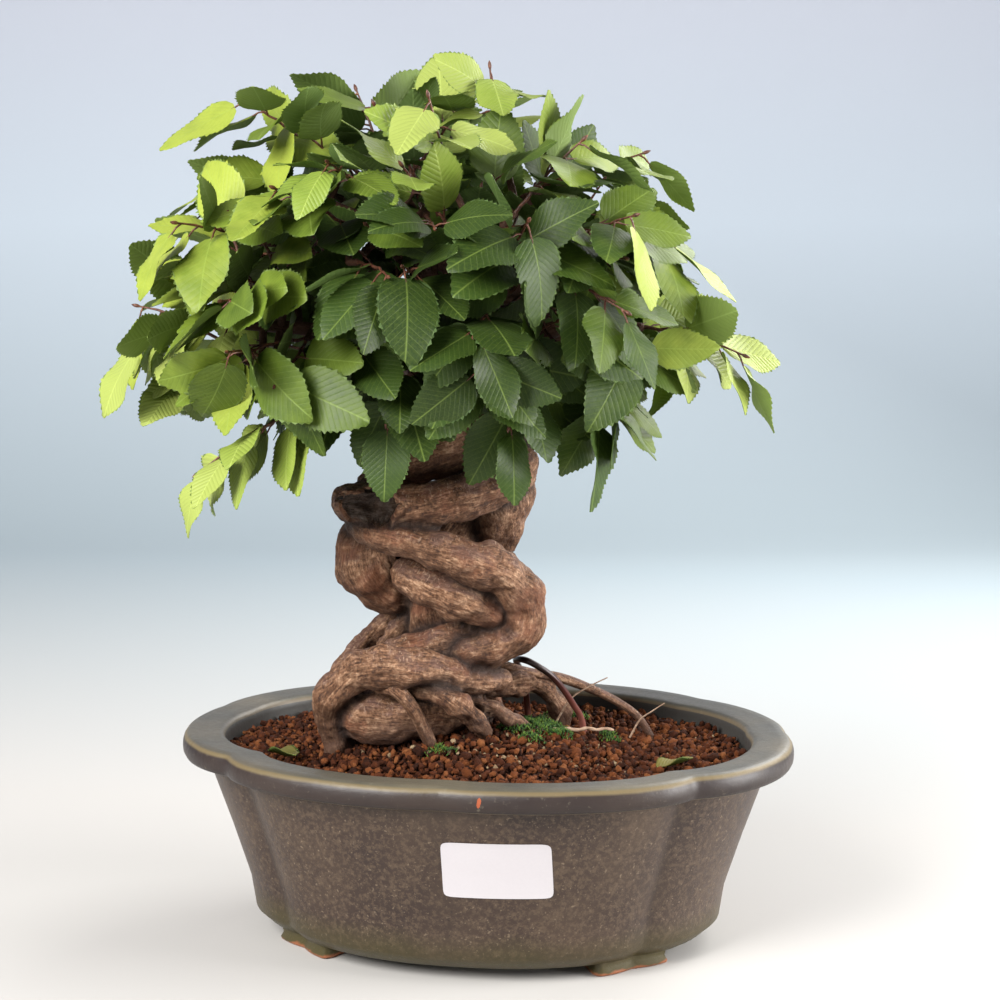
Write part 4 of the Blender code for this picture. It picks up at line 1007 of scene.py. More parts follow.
def make_leafy_shoots(shoots, solid_count, paints):
    """One piece for each side of the crown and each colour of leaf; each stands for its shoots."""
    draw = random.Random(31)
    heaps = {}
    nodes = {}
    for i, shoot in enumerate(shoots):
        key = (side_of(shoot), "young" if shoot["young"] else "green")
        heap = heaps.setdefault(key, Heap())
        dress_shoot(heap, shoot, draw)
        if i < solid_count:
            nodes.setdefault(key, []).append(f"shoot_{i + 1:02d}")
    for key in heaps:
        side, age = key
        mesh = heaps[key].mesh(f"{age}_leaves_{side}")
        mesh.set_sharp_from_angle(angle=LEAF_CREASE)
        finishes = [paints["leaf_upper_" + age], paints["leaf_under"], paints["twig"]]
        piece_from(mesh, finishes, f"leaf_{age}", *nodes.get(key, []))


# Trunk


def limb_samples(points, step):
    """Closely spaced centres and radii of a limb."""
    smooth = np.array(smooth_route(points, 12))
    spans = run_along(smooth[:, :3])
    wanted = np.linspace(0, spans[-1], max(4, int(spans[-1] / step)))
    columns = [np.interp(wanted, spans, smooth[:, k]) for k in range(4)]
    return np.stack(columns[:3], -1), columns[3]


def lumps(seed):
    """A limb's uneven girth: slow waves along it and a few ridges round it that wind slowly."""
    a, b, c = np.random.default_rng(seed).uniform(0, 6.28, 3)

    def swell(along, turn):
        slow = 0.035 * np.sin(along / 7.0 + a) + 0.02 * np.sin(along / 3.7 + b)
        ridges = 0.03 * np.sin(2 * turn + along / 16.0 + c)
        ridges = ridges + 0.015 * np.sin(5 * turn - along / 21.0 + a)
        return 1 + slow + ridges

    return swell


def fused(name, heap, grain):
    """The heap's tubes grown into one skin by a voxel remesh, then smoothed a little."""
    mesh = heap.mesh(name + "_rough")
    obj = linked(mesh.name, mesh)
    join = obj.modifiers.new("join", "REMESH")
    join.mode = "VOXEL"
    join.voxel_size = grain * MM
    soften = obj.modifiers.new("soften", "SMOOTH")
    soften.factor = 0.5
    soften.iterations = 3
    skin = finished_mesh(obj)
    bpy.data.objects.remove(obj)
    skin.name = name
    skin.materials.clear()
    return skin


def limb_field(points, names):
    """For each point, its place along and across the nearest limb, and how near the next limb is.

    A point's distance to a limb is its distance to the limb's line less the radius there. The
    crevice is high where the two nearest limbs are as near as each other.
    """
    nearest = np.full(len(points), 1e9)
    second = np.full(len(points), 1e9)
    place = np.zeros((len(points), 3))
    for number, name in enumerate(names):
        centres, radii = limb_samples(LIMBS[name], 2.0)
        ahead, across, other = carried_frames(centres)
        along = run_along(centres)
        gap = np.full(len(points), 1e9)
        which = np.zeros(len(points), int)
        for j, (centre, radius) in enumerate(zip(centres, radii)):
            reach = np.sqrt(((points - centre) ** 2).sum(1)) - radius
            closer = reach < gap
            gap[closer] = reach[closer]
            which[closer] = j
        offset = points - centres[which]
        run = along[which] + (offset * ahead[which]).sum(1)
        sideways = (offset * across[which]).sum(1)
        upwards = (offset * other[which]).sum(1)
        mine = np.stack([run + 60.0 * number, sideways, upwards], -1)
        closer = gap < nearest
        second = np.where(closer, nearest, np.minimum(second, gap))
        nearest = np.where(closer, gap, nearest)
        place[closer] = mine[closer]
    crevice = np.exp(-((second - nearest) / 2.6) ** 2)
    return place, crevice


def open_wound(points, facing):
    """The hollow cut where a limb was sawn off: front points inside a ragged oval move back onto
    the far half of an ellipsoid, and a lip rises round it, as a bell curve over the distance from
    the oval. Returns the points and the hollow's mask."""
    middle = np.array(WOUND_PLACE)
    wide, deep, tall = WOUND_RADII
    aside, upward = (points[:, 0] - middle[0]) / wide, (points[:, 2] - middle[2]) / tall
    turn = np.arctan2(upward, aside)
    rough = 1 + 0.10 * np.cos(3 * turn + 0.7) + 0.07 * np.cos(5 * turn + 2.0)
    rough += 0.08 * ripple(points, 4.0, 5)
    far = np.hypot(aside, upward) * rough
    front = (points[:, 1] < middle[1] + deep) & (points[:, 1] > middle[1] - 12)
    inside = front & (far < 1.0)
    depth = middle[1] + deep * np.sqrt(np.clip(1 - far**2, 0, 1)) * 0.5 + 1.2 * ripple(points, 5.0, 6)
    moved = points.copy()
    moved[inside, 1] = np.maximum(points[inside, 1], depth[inside])
    lip = np.exp(-(((far - 1.15) / 0.15) ** 2)) * front * (facing < 0.2) * (1 + 0.4 * np.cos(8 * turn))
    moved[:, 1] -= 1.6 * lip
    moved[:, 2] += 0.7 * lip * np.sign(points[:, 2] - middle[2])
    return moved, np.where(front, np.clip(0.5 + (0.98 - far) * 2.2, 0, 1), 0.0)


def vertex_values(mesh, kind):
    """The mesh's points or its normals, a row for each vertex."""
    values = np.empty(len(mesh.vertices) * 3, np.float32)
    mesh.vertices.foreach_get(kind, values)
    return values.reshape(-1, 3).astype(float)


def make_trunk(paints):
    """The twisted trunk: all thick limbs fused, then moved along the normals by the bark's relief.

    The relief is ridges drawn out along each limb, scales, slow bumps, sunk crevices, and round
    each knot a swelling with a pit in its middle.
    """
    thick = [name for name in LIMBS if name not in FINE_ROOTS]
    heap = Heap()
    for seed, name in enumerate(thick):
        centres, radii = limb_samples(LIMBS[name], 2.2)
        points, faces, _ = swept(centres, radii, 26, lumps(seed))
        heap.add(points, faces)
    mesh = fused("twisted_trunk", heap, TRUNK_GRAIN)
    points = vertex_values(mesh, "co") / MM
    normals = vertex_values(mesh, "normal")
    place, crevice = limb_field(points, thick)
    squeezed = place * np.array([0.24, 1.0, 1.0])
    ridges = (0.5 - np.abs(ripple(squeezed, 6.5, 41))) * 0.24 + ripple(squeezed, 3.0, 42) * 0.10
    scales = (0.5 - np.abs(ripple(points, 5.0, 45))) * 0.4
    bumps = ripple(points, 17.0, 43) * 0.75 + ripple(points, 7.0, 44) * 0.35
    points = points + normals * (ridges + scales + bumps - 1.3 * crevice)[:, None]
    for x, y, z, size in KNOTS:
        far = np.linalg.norm(points - np.array([x, y, z]), axis=1) / size
        swell = 0.9 * np.exp(-((far - 1.3) / 0.5) ** 2) - 1.6 * np.exp(-((far / 0.6) ** 2))
        points = points + normals * swell[:, None]
        # The knot's pit also takes the crevice's painted shade in the bark's colour.
        crevice = np.maximum(crevice, np.exp(-((far / 0.75) ** 2)))
    points, wound = open_wound(points, normals[:, 1])
    mesh.vertices.foreach_set("co", (in_pot(points) * MM).astype(np.float32).ravel())
    mesh.update()
    mesh.shade_smooth()
    add_vector(mesh, "grain_place", place)
    # Besides sinking the relief, the crevice paints shade into the bark's colour.
    add_number(mesh, "crevice", crevice)
    add_number(mesh, "wound", wound)
    add_number(mesh, "young_wood", np.clip((points[:, 2] - 190) / 25, 0, 1))
    piece_from(mesh, [paints["bark"]], "bark", "trunk")


def add_limb(heap, points, step, sides, swell, young):
    """A swept limb with its rings a step apart, and what the bark's finish reads."""
    centres, radii = limb_samples(points, step)
    heap.add_tube(centres, radii, sides, 0, "grain_place", swell, crevice=0.0, wound=0.0,
                  young_wood=young)


def make_fine_roots(paints):
    """The two thin roots that run down over the thick ones into the soil."""
    heap = Heap()
    for seed, name in enumerate(FINE_ROOTS):
        add_limb(heap, LIMBS[name], 1.6, 14, lumps(seed + 60), 0.0)
    piece_from(heap.mesh("fine_roots"), [paints["bark"]], "bark", "trunk")


def make_branches(paints, shoots):
    """The crown's limbs and the branchlets to each shoot, as swept tubes with slow lumps."""
    heap = Heap()
    for seed, points in enumerate(BRANCHES.values()):
        add_limb(heap, points, 3.0, 12, lumps(seed + 80), 1.0)
    for shoot in shoots:
        if shoot["stem"]:
            knots = [(*point, radius) for point, radius in zip(shoot["stem"], shoot["stem_radii"])]
            add_limb(heap, knots, 4.0, 7, None, 1.0)
    piece_from(heap.mesh("crown_branches"), [paints["bark"]], "bark", "trunk")


# Pot


def off_angle(degrees, angle):
    """How far each direction lies from the angle, from -180 to 180 degrees."""
    return (degrees - angle + 180) % 360 - 180


def unit_outline(lobe, centre_share=1.0, degrees=DEGREES):
    """The pot's outline with half sizes of one: an oval of power OVAL_POWER, pulled in at notches.

    At d degrees from a notch the pull is its depth times exp(-sqrt(d^2 + NOTCH_ROUND^2) /
    NOTCH_REACH), a cusp with a small round bottom. The notches in the middle of the long sides
    have only the centre's share of their depth.
    """
    pull = np.ones(len(degrees))
    for angle, share in NOTCHES:
        depth = lobe * share * (centre_share if angle in (90.0, 270.0) else 1.0)
        pull -= depth * np.exp(-np.hypot(off_angle(degrees, angle), NOTCH_ROUND) / NOTCH_REACH)
    turn = np.radians(degrees)
    x = np.sign(np.cos(turn)) * np.abs(np.cos(turn)) ** (2 / OVAL_POWER) * pull
    y = np.sign(np.sin(turn)) * np.abs(np.sin(turn)) ** (2 / OVAL_POWER) * pull
    return x, y


def lobed_ring(half_length, half_depth, heights, *outline):
    """Rows of the pot's outline, one at each height, each with its half length and half depth."""
    x, y = unit_outline(*outline)
    sizes = (half_length, half_depth, heights)
    length, depth, height = (np.atleast_1d(size).astype(float)[:, None] for size in sizes)
    return np.stack([length * x, depth * y, height + 0 * x], -1) + POT_SHIFT


def wall_halves(heights, inset=0.0):
    """The wall's half length and half depth at these heights, both less the inset."""
    lengths, depths, levels = zip(*WALL_PROFILE)
    return np.interp(heights, levels, lengths) - inset, np.interp(heights, levels, depths) - inset


def wall_rows(heights, inset):
    """The wall's outline at these heights, moved in by the inset."""
    return lobed_ring(*wall_halves(heights, inset), heights, WALL_LOBE, WALL_CENTRE_SHARE)


def rim_rows():
    """The rim's outline along its section, from its underside over its edge to the inside."""
    insets, heights = (np.array(column) for column in zip(*RIM_SECTION))
    return lobed_ring(RIM_HALF_LENGTH - insets, RIM_HALF_DEPTH - insets, heights, RIM_LOBE)


def foot_rows(angle):
    """One foot at each height: a band under the wall's edge that follows it to both sides of a
    notch, set back a little at its waist, with its outer corners rounded by a quarter circle."""
    steps = np.linspace(-1, 1, 49)
    inner = np.linspace(1, -1, 9) * (FOOT_SPAN - 2) + angle
    bend = np.clip((np.abs(steps) - FOOT_STRAIGHT) / (1 - FOOT_STRAIGHT), 0, 1)
    corner = FOOT_ROUND * (1 - np.sqrt(1 - bend**2))
    rows = []
    for height, inset in FOOT_SECTION:
        length, depth = FOOT_HALF_LENGTH - inset, FOOT_HALF_DEPTH - inset
        x, y = unit_outline(WALL_LOBE, 1.0, steps * (FOOT_SPAN - inset * 0.8) + angle)
        front = np.stack([(length - corner) * x, (depth - corner) * y, height + 0 * x], -1)
        inwards = FOOT_DEPTH - 2 * inset
        back = lobed_ring(length - inwards, depth - inwards, height, 0.0, 1.0, inner)[0]
        rows.append(np.concatenate([front + POT_SHIFT, back]))
    return np.array(rows)


def capped(rows):
    """Points and faces of a closed stack of rings, with a fan to a middle point at each end."""
    count, sides = rows.shape[:2]
    points = np.concatenate([rows.reshape(-1, 3), [rows[0].mean(0)], [rows[-1].mean(0)]])
    return points, [quads_of(count, sides, True), *closing_fans(count, sides)]


def make_pot(paints):
    """The pot: wall, overhanging rounded rim, inside wall and floor in one stack, with four feet.

    The band runs 0 to 1 up the wall, 2 to 3 over the rim and 4 to 5 down the inside. The crease, which
    paints shade down each notch, falls off with the degrees from each notch.
    """
    finishes = [paints["glaze"], paints["bare_clay"]]
    insets = np.zeros(len(WALL_LEVELS))
    insets[:len(WALL_EDGE_INSETS)] = WALL_EDGE_INSETS
    wall = wall_rows(WALL_LEVELS, insets)
    insets = np.full(len(INSIDE_LEVELS), WALL_THICKNESS)
    insets[-1] += FLOOR_EDGE_INSET
    parts = [wall, rim_rows(), wall_rows(INSIDE_LEVELS, insets)]
    rows = np.concatenate(parts)
    bands = [np.linspace(2 * k, 2 * k + 1, len(part)) for k, part in enumerate(parts)]
    band = np.repeat(np.concatenate(bands), AROUND)
    near = [share * np.exp(-np.abs(off_angle(DEGREES, angle)) / NOTCH_SHADE)
            for angle, share in NOTCHES]
    crease = np.tile(np.max(near, axis=0), len(rows))
    body = Heap()
    body.add(*capped(rows), band=np.append(band, [0.0, 5.0]), crease=np.append(crease, [0.0, 0.0]))
    obj = piece_from(body.mesh("glazed_pot"), finishes, "pot_glaze", "pot")
    for side in (-1, 1):
        drill_drain(obj, side * DRAIN_OFFSET)
    feet = Heap()
    for angle in FOOT_NOTCHES:
        feet.add(*capped(foot_rows(angle)), [0, 1, 0], band=0.0, crease=0.0)
    obj = piece_from(feet.mesh("pot_feet"), finishes, "pot_glaze", "pot")
    obj.data.set_sharp_from_angle(angle=SHARP_EDGE)


def drill_drain(pot, offset):
    """Cuts one round drain hole through the floor with a Boolean."""
    shape = bmesh.new()
    bmesh.ops.create_cone(shape, cap_ends=True, segments=40, radius1=DRAIN_RADIUS * MM,
                          radius2=DRAIN_RADIUS * MM, depth=30 * MM)
    mesh = bpy.data.meshes.new("drain_drill")
    shape.to_mesh(mesh)
    shape.free()
    mesh.transform(Matrix.Translation(Vector((offset + POT_PLACE[0], POT_PLACE[1], 0)) * MM))
    drill = linked(mesh.name, mesh)
    cut = pot.modifiers.new("drain", "BOOLEAN")
    cut.operation = "DIFFERENCE"
    cut.solver = "EXACT"
    cut.object = drill
    pot.data = finished_mesh(pot)
    pot.modifiers.clear()
    bpy.data.objects.remove(drill)


def make_label(paints):
    """The blank paper label: a grid over its width and height, laid a hair in front of the wall.

    The grid shrinks towards its corners to an oval of a high power, which rounds them. Its place
    away is the wall's outline there, less a lift and a curl that starts near its edges.
    """
    half_width, half_height = LABEL_WIDTH / 2, (LABEL_HIGH - LABEL_LOW) / 2
    u, v = np.meshgrid(np.linspace(-1, 1, 41), np.linspace(-1, 1, 23), indexing="ij")
    power = LABEL_CORNER_POWER
    shrink = 1 / np.maximum(1.0, (np.abs(u) ** power + np.abs(v) ** power) ** (1 / power))
    x = u * shrink * half_width + LABEL_CENTRE
    z = v * shrink * half_height + (LABEL_LOW + LABEL_HIGH) / 2
    half_length, half_depth = wall_halves(z)
    ring = np.stack(unit_outline(WALL_LOBE, WALL_CENTRE_SHARE), -1)
    near = ring[ring[:, 1] < 0]
    near = near[np.argsort(near[:, 0])]
    front = half_depth * np.interp(x / half_length, near[:, 0], near[:, 1])
    curl = 0.10 * (np.abs(u) ** 8 + np.abs(v) ** 8)
    outer = np.stack([x, front - LABEL_LIFT - curl, z], -1) + POT_SHIFT
    inner = outer + np.array([0.0, LABEL_SHEET, 0.0])
    rows, columns = x.shape
    cells = quads_of(rows, columns, False)
    count = rows * columns
    border = np.concatenate([np.arange(columns), np.arange(2, rows + 1) * columns - 1,
                             (rows - 1) * columns + np.arange(columns - 2, -1, -1),
                             np.arange(rows - 2, 0, -1) * columns])
    after = np.roll(border, -1)
    sides = np.stack([after, border, border + count, after + count], -1)
    points = np.concatenate([outer.reshape(-1, 3), inner.reshape(-1, 3)])
    mesh = build_mesh("blank_label", points, [cells, cells[:, ::-1] + count, sides[:, ::-1]])
    face_outwards(mesh)
    obj = piece_from(mesh, [paints["paper"]], "label_paper", "label")
    obj.data.set_sharp_from_angle(angle=SHARP_EDGE)


def face_outwards(mesh):
    """Turns the faces of a closed mesh outwards."""
    shape = bmesh.new()
    shape.from_mesh(mesh)
    bmesh.ops.recalc_face_normals(shape, faces=shape.faces)
    shape.to_mesh(mesh)
    shape.free()


# Soil


def soil_height(x, y):
    """The soil's height at places from the pot's centre: a mound round the trunk, plus grain."""
    far = np.hypot(x - SOIL_MOUND_PLACE[0], y - SOIL_MOUND_PLACE[1]) / SOIL_MOUND_REACH
    mound = SOIL_MOUND * np.maximum(0.0, 1 - far * far) ** 2
    grain = np.sin(0.83 * x + 1.7 * np.sin(0.51 * y)) * np.sin(0.77 * y + 1.3 * np.sin(0.43 * x))
    return SOIL_EDGE + mound + SOIL_GRAIN * grain


def make_soil_bed(paints):
    """The filling under the granules: rings of the inner wall's outline, shrunk towards its middle."""
    edge = wall_rows([SOIL_EDGE - 1.0], WALL_THICKNESS + 0.4)[0] - POT_SHIFT
    shares = np.linspace(1.0, 0.0, 40)[:-1, None]
    x, y = edge[:, 0] * shares, edge[:, 1] * shares
    z = soil_height(x, y) - SOIL_BED_DEPTH
    z[0] = SOIL_EDGE - 2.0
    top = np.stack([x, y, z], -1) + POT_SHIFT
    low = wall_rows(np.array([FLOOR_TOP + GAP, FLOOR_TOP + 6, 41.0]), WALL_THICKNESS + 1.5)
    points, faces = capped(np.concatenate([low, top]))
    points[-1, 2] = soil_height(0.0, 0.0) - SOIL_BED_DEPTH
    bed = Heap()
    bed.add(points, faces, tone=0.2, pale=0.0)
    piece_from(bed.mesh("soil_bed"), [paints["soil"]], "soil_granules", "soil")


# A granule: the twelve corners of a ball, and its twenty faces
GRAIN_SHAPE = np.array([
    (0, 0, 1), (0.89, 0, 0.45), (0.28, 0.85, 0.45), (-0.72, 0.53, 0.45), (-0.72, -0.53, 0.45),
    (0.28, -0.85, 0.45), (0.72, 0.53, -0.45), (-0.28, 0.85, -0.45), (-0.89, 0, -0.45),
    (-0.28, -0.85, -0.45), (0.72, -0.53, -0.45), (0, 0, -1),
])
GRAIN_FACES = np.array([
    (0, 1, 2), (0, 2, 3), (0, 3, 4), (0, 4, 5), (0, 5, 1), (1, 6, 2), (2, 7, 3), (3, 8, 4), (4, 9, 5),
    (5, 10, 1), (2, 6, 7), (3, 7, 8), (4, 8, 9), (5, 9, 10), (1, 10, 6), (11, 7, 6), (11, 8, 7),
    (11, 9, 8), (11, 10, 9), (11, 6, 10),
])


def scattered(spacing, seed):
    """Places on a jittered lattice over the soil's oval, from the pot's centre: across and away
    in the viewing frame, then the same places in the pot's own plan."""
    draw = np.random.default_rng(seed)
    steps = np.arange(-112, 112, spacing)
    x, y = np.meshgrid(steps, np.arange(-92, 92, spacing * 0.87))
    x = x + (np.arange(x.shape[0])[:, None] % 2) * spacing / 2
    x = x.ravel() + draw.uniform(-0.45, 0.45, x.size) * spacing
    y = y.ravel() + draw.uniform(-0.45, 0.45, y.size) * spacing
    px, py = to_pot_plan(x, y)
    edge = wall_rows([SOIL_EDGE], WALL_THICKNESS + 1.6)[0] - POT_SHIFT
    angles, reaches = np.arctan2(edge[:, 1], edge[:, 0]), np.hypot(edge[:, 0], edge[:, 1])
    order = np.argsort(angles)
    around = np.arctan2(py, px)
    reach = np.interp(around, angles[order], reaches[order], period=2 * np.pi)
    inside = np.hypot(px, py) < reach
    return x[inside], y[inside], px[inside], py[inside]


def grains(centres, sizes, seed):
    """Angular lumps: a twelve-cornered ball for each centre, stretched, turned and dented at random."""
    draw = np.random.default_rng(seed)
    count = len(centres)
    turns = draw.normal(size=(count, 3, 3))
    turns, _ = np.linalg.qr(turns)
    turns[np.linalg.det(turns) < 0] *= -1
    stretch = draw.uniform(0.6, 1.35, (count, 1, 3))
    dents = draw.uniform(0.6, 1.2, (count, len(GRAIN_SHAPE), 1))
    shapes = GRAIN_SHAPE[None] * stretch * dents * sizes[:, None, None]
    shapes = np.einsum("nij,nkj->nki", turns, shapes) + centres[:, None, :]
    faces = GRAIN_FACES[None] + np.arange(count)[:, None, None] * len(GRAIN_SHAPE)
    return shapes.reshape(-1, 3), faces.reshape(-1, 3)


def depth_in_wood(points):
    """How deep each point lies inside the trunk's limbs, below nought outside them."""
    deepest = np.full(len(points), -1e9)
    for limb in LIMBS.values():
        centres, radii = limb_samples(limb, 3.0)
        for centre, radius in zip(centres, radii):
            deepest = np.maximum(deepest, radius - np.linalg.norm(points - centre, axis=1))
    return deepest


def make_granules(paints):
    """Baked clay granules over the soil: two layers of lumps, larger ones on top, none in the
    wood, and more pale ones near the trunk."""
    draw = np.random.default_rng(3)
    heap = Heap()
    for layer, (spacing, low, high, lift) in enumerate(GRANULE_LAYERS):
        x, y, px, py = scattered(spacing, 50 + layer)
        z = soil_height(px, py) + lift + draw.uniform(-0.5, 0.5, len(x))
        centres = np.stack([x, y, z], -1)
        keep = depth_in_wood(centres) < 0.4
        centres = centres[keep]
        sizes = low + (high - low) * draw.random(len(centres)) ** 1.6
        each = len(GRAIN_SHAPE)
        near_trunk = np.exp(-((centres[:, 0] - 4) ** 2 / 1500 + (centres[:, 1] + 18) ** 2 / 500))
        pale = draw.random(len(centres)) < 0.01 + 0.13 * near_trunk
        sizes *= 1 - 0.35 * pale
        points, faces = grains(centres, sizes, 70 + layer)
        tone = np.repeat(draw.random(len(centres)), each)
        pale = np.repeat(pale * draw.uniform(0.4, 1.0, len(centres)), each)
        heap.add(in_pot(points), [faces], tone=tone, pale=pale)
    mesh = heap.mesh("clay_granules", smooth=False)
    piece_from(mesh, [paints["soil"]], "soil_granules", "soil")


def make_moss(paints):
    """Cushions of moss: on each patch short three-sided blades that lean out of little mounds.

    A mound's height falls off with the fourth power of the share r of the patch's reach, and the
    blades thin out with its third power.
    """
    draw = np.random.default_rng(9)
    heap = Heap()
    for across, away, wide, deep in MOSS_PATCHES:
        count = int(wide * deep * 7.0)
        a = draw.uniform(0, 2 * np.pi, count)
        r = np.sqrt(draw.random(count))
        x, y = across + r * np.cos(a) * wide * 0.7, away + r * np.sin(a) * deep * 0.7
        px, py = to_pot_plan(x, y)
        mound = 2.6 * (1 - r**4) + 0.5 * np.sin(x * 1.3) * np.sin(y * 1.7)
        z = soil_height(px, py) + mound + 0.5
        base = np.stack([x, y, z], -1)
        keep = (depth_in_wood(base) < 0.2) & (draw.random(count) < 1.15 - r**3)
        base = base[keep]
        count = len(base)
        height = draw.uniform(0.6, 1.5, count)
        aside, ahead = draw.normal(0, 0.55, count), draw.normal(0, 0.55, count)
        lean = np.stack([aside, ahead, np.ones(count)], -1)
        tips = base + lean * height[:, None]
        turn = draw.uniform(0, 2 * np.pi, count)[:, None] + np.array([0, 2.09, 4.19])
        ring = np.stack([np.cos(turn), np.sin(turn), 0 * turn], -1) * 0.34
        feet = base[:, None, :] + ring
        points = np.concatenate([feet, tips[:, None, :]], 1).reshape(-1, 3)
        four = np.arange(count)[:, None, None] * 4
        faces = (np.array([(0, 1, 3), (1, 2, 3), (2, 0, 3), (0, 2, 1)])[None] + four).reshape(-1, 3)
        heap.add(in_pot(points), [faces], tone=np.repeat(draw.random(count), 4))
    piece_from(heap.mesh("moss_tufts"), [paints["moss"]], "leaf_green")


# Small pieces


def make_wire(paints):
    """The brown wire: a round tube through the route's own points, smoothed."""
    route = np.array(smooth_route(WIRE_ROUTE, 6))
    heap = Heap()
    heap.add_tube(route, np.full(len(route), WIRE_RADIUS), 16)
    piece_from(heap.mesh("brown_wire"), [paints["wire"]], "wire_brown", "wire")


def make_dry_bits(paints):
    """The dead twig on the soil and the hair-thin rootlets that stand out of it."""
    low, high = (np.array(corner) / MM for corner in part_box("dead_twig"))
    height = (low[2] + high[2]) / 2
    route = np.array([(x, y, height) for x, y in DEAD_TWIG_ROUTE], float)
    route = np.array(smooth_route(route, 8))
    route[:, 2] += 0.3 * np.sin(np.arange(len(route)) * 0.9)
    radii = np.linspace(DEAD_TWIG_RADIUS, DEAD_TWIG_RADIUS * 0.6, len(route))
    radii *= 1 + 0.15 * np.sin(np.arange(len(route)) * 2.1)
    heap = Heap()
    heap.add_tube(route, radii, 9)
    piece_from(heap.mesh("dry_twig"), [paints["dry"]], "dry_wood", "dead_twig")
    hairs = Heap()
    for knots in ROOTLETS:
        route = np.array(smooth_route(knots, 8))
        hairs.add_tube(route, np.linspace(0.42, 0.2, len(route)), 6)
    piece_from(hairs.mesh("rootlets"), [paints["dry"]], "dry_wood")


def make_fallen_leaves(paints):
    """Two fallen leaves, where their solids lie, curled up a little at the edges."""
    draw = random.Random(5)
    for name, (place, turn, length) in FALLEN_LEAVES.items():
        heap = Heap()
        sheets = leaf_sheets(length, length * 0.6, 0.5, -0.16, 0.9, 0.25)
        points, faces, kinds, marks, flat = sheets
        ahead = Vector((math.cos(turn), math.sin(turn), 0))
        matrix = np.array(leaf_matrix((*place, 0), ahead, (0, 0, 1)))
        placed = in_pot(points @ matrix[:3, :3].T + matrix[:3, 3])
        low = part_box(name)[0].z / MM
        placed[:, 2] += low - placed[:, 2].min() + FALLEN_LIFT
        scorch = 0.9 if name.endswith("left") else 0.1
        tone = draw.random()
        heap.add(placed, faces, kinds, edge=marks, vein_place=flat, tone=tone, scorch=scorch)
        finishes = [paints["leaf_faded"], paints["leaf_under"]]
        piece_from(heap.mesh(name + "_fine"), finishes, "leaf_faded", name)


# Finishes


class Finish:
    """A material's node tree, with short ways to add nodes and join them."""

    def __init__(self, name):
        self.material = bpy.data.materials.new(name)
        self.material.use_nodes = True
        self.tree = self.material.node_tree
        self.shader = self.tree.nodes["Principled BSDF"]
        self.out = self.tree.nodes["Material Output"]

    def set(self, **values):
        """Sets the shader's own sockets, each named with low lines for its spaces."""
        for key, value in values.items():
            self.shader.inputs[key.replace("_", " ")].default_value = value

    def node(self, kind, **settings):
        made = self.tree.nodes.new("ShaderNode" + kind)
        for key, value in settings.items():
            setattr(made, key, value)
        return made

    def join(self, value, socket):
        """Leads another node's output, or sets a number or a colour, into the socket."""
        if isinstance(value, bpy.types.NodeSocket):
            self.tree.links.new(value, socket)
        elif isinstance(value, tuple):
            socket.default_value = (*value, 1)
        else:
            socket.default_value = value

    def number(self, name):
        """A value that the mesh holds at its points."""
        return self.node("Attribute", attribute_name=name).outputs["Fac"]

    def vector(self, name):
        """A place that the mesh holds at its points."""
        return self.node("Attribute", attribute_name=name).outputs["Vector"]

    def place(self):
        """The place in space, in metres."""
        return self.node("TexCoord").outputs["Object"]

    def parts(self, vector):
        """The three numbers of a vector."""
        made = self.node("SeparateXYZ")
        self.join(vector, made.inputs[0])
        return made.outputs

    def scaled(self, vector, scale):
        """A vector drawn in or out along its axes."""
        made = self.node("Mapping")
        self.join(vector, made.inputs["Vector"])
        made.inputs["Scale"].default_value = scale
        return made.outputs["Vector"]

    def noise(self, vector, scale, detail=3.0, rough=0.55, warp=0.0):
        """Soft clouds from 0 to 1, about 1 / scale wide."""
        made = self.node("TexNoise")
        self.join(vector, made.inputs["Vector"])
        made.inputs["Scale"].default_value = scale
        made.inputs["Detail"].default_value = detail
        made.inputs["Roughness"].default_value = rough
        made.inputs["Distortion"].default_value = warp
        return made.outputs["Fac"]

    def cells(self, vector, scale, feature="F1"):
        """How far it is to the nearest of scattered points, or to the edge between them."""
        made = self.node("TexVoronoi", feature=feature)
        self.join(vector, made.inputs["Vector"])
        made.inputs["Scale"].default_value = scale
        return made.outputs["Distance"]

    def math(self, operation, a, b=0.0, clamp=False):
        """One operation on two numbers or outputs."""
        made = self.node("Math", operation=operation, use_clamp=clamp)
        for value, socket in zip((a, b), made.inputs):
            self.join(value, socket)
        return made.outputs[0]

    def plus(self, a, b):
        return self.math("ADD", a, b)

    def less(self, a, b):
        return self.math("SUBTRACT", a, b)

    def times(self, a, b):
        return self.math("MULTIPLY", a, b)

    def ramp(self, value, *stops):
        """A colour ramp: each stop is its place and its grey or colour."""
        made = self.node("ValToRGB")
        self.join(value, made.inputs["Fac"])
        slots = made.color_ramp.elements
        while len(slots) < len(stops):
            slots.new(0.5)
        for slot, (place, shade) in zip(slots, stops):
            slot.position = place
            slot.color = (*shade, 1) if isinstance(shade, tuple) else (shade, shade, shade, 1)
        return made.outputs["Color"]

    def mix(self, share, a, b):
        """Colour a where the share is nought, colour b where it is one."""
        made = self.node("Mix", data_type="RGBA")
        self.join(share, made.inputs["Factor"])
        self.join(a, made.inputs[6])
        self.join(b, made.inputs[7])
        return made.outputs[2]

    def bump(self, height, strength, distance, below=None):
        """Fine relief of that height in millimetres, on top of the relief below."""
        made = self.node("Bump")
        made.inputs["Strength"].default_value = strength
        made.inputs["Distance"].default_value = distance * MM
        self.join(height, made.inputs["Height"])
        if below is not None:
            self.join(below, made.inputs["Normal"])
        return made.outputs["Normal"]

    def finish(self, colour, rough, normal=None):
        self.join(colour, self.shader.inputs["Base Color"])
        self.join(rough, self.shader.inputs["Roughness"])
        if normal is not None:
            self.join(normal, self.shader.inputs["Normal"])
        return self.material


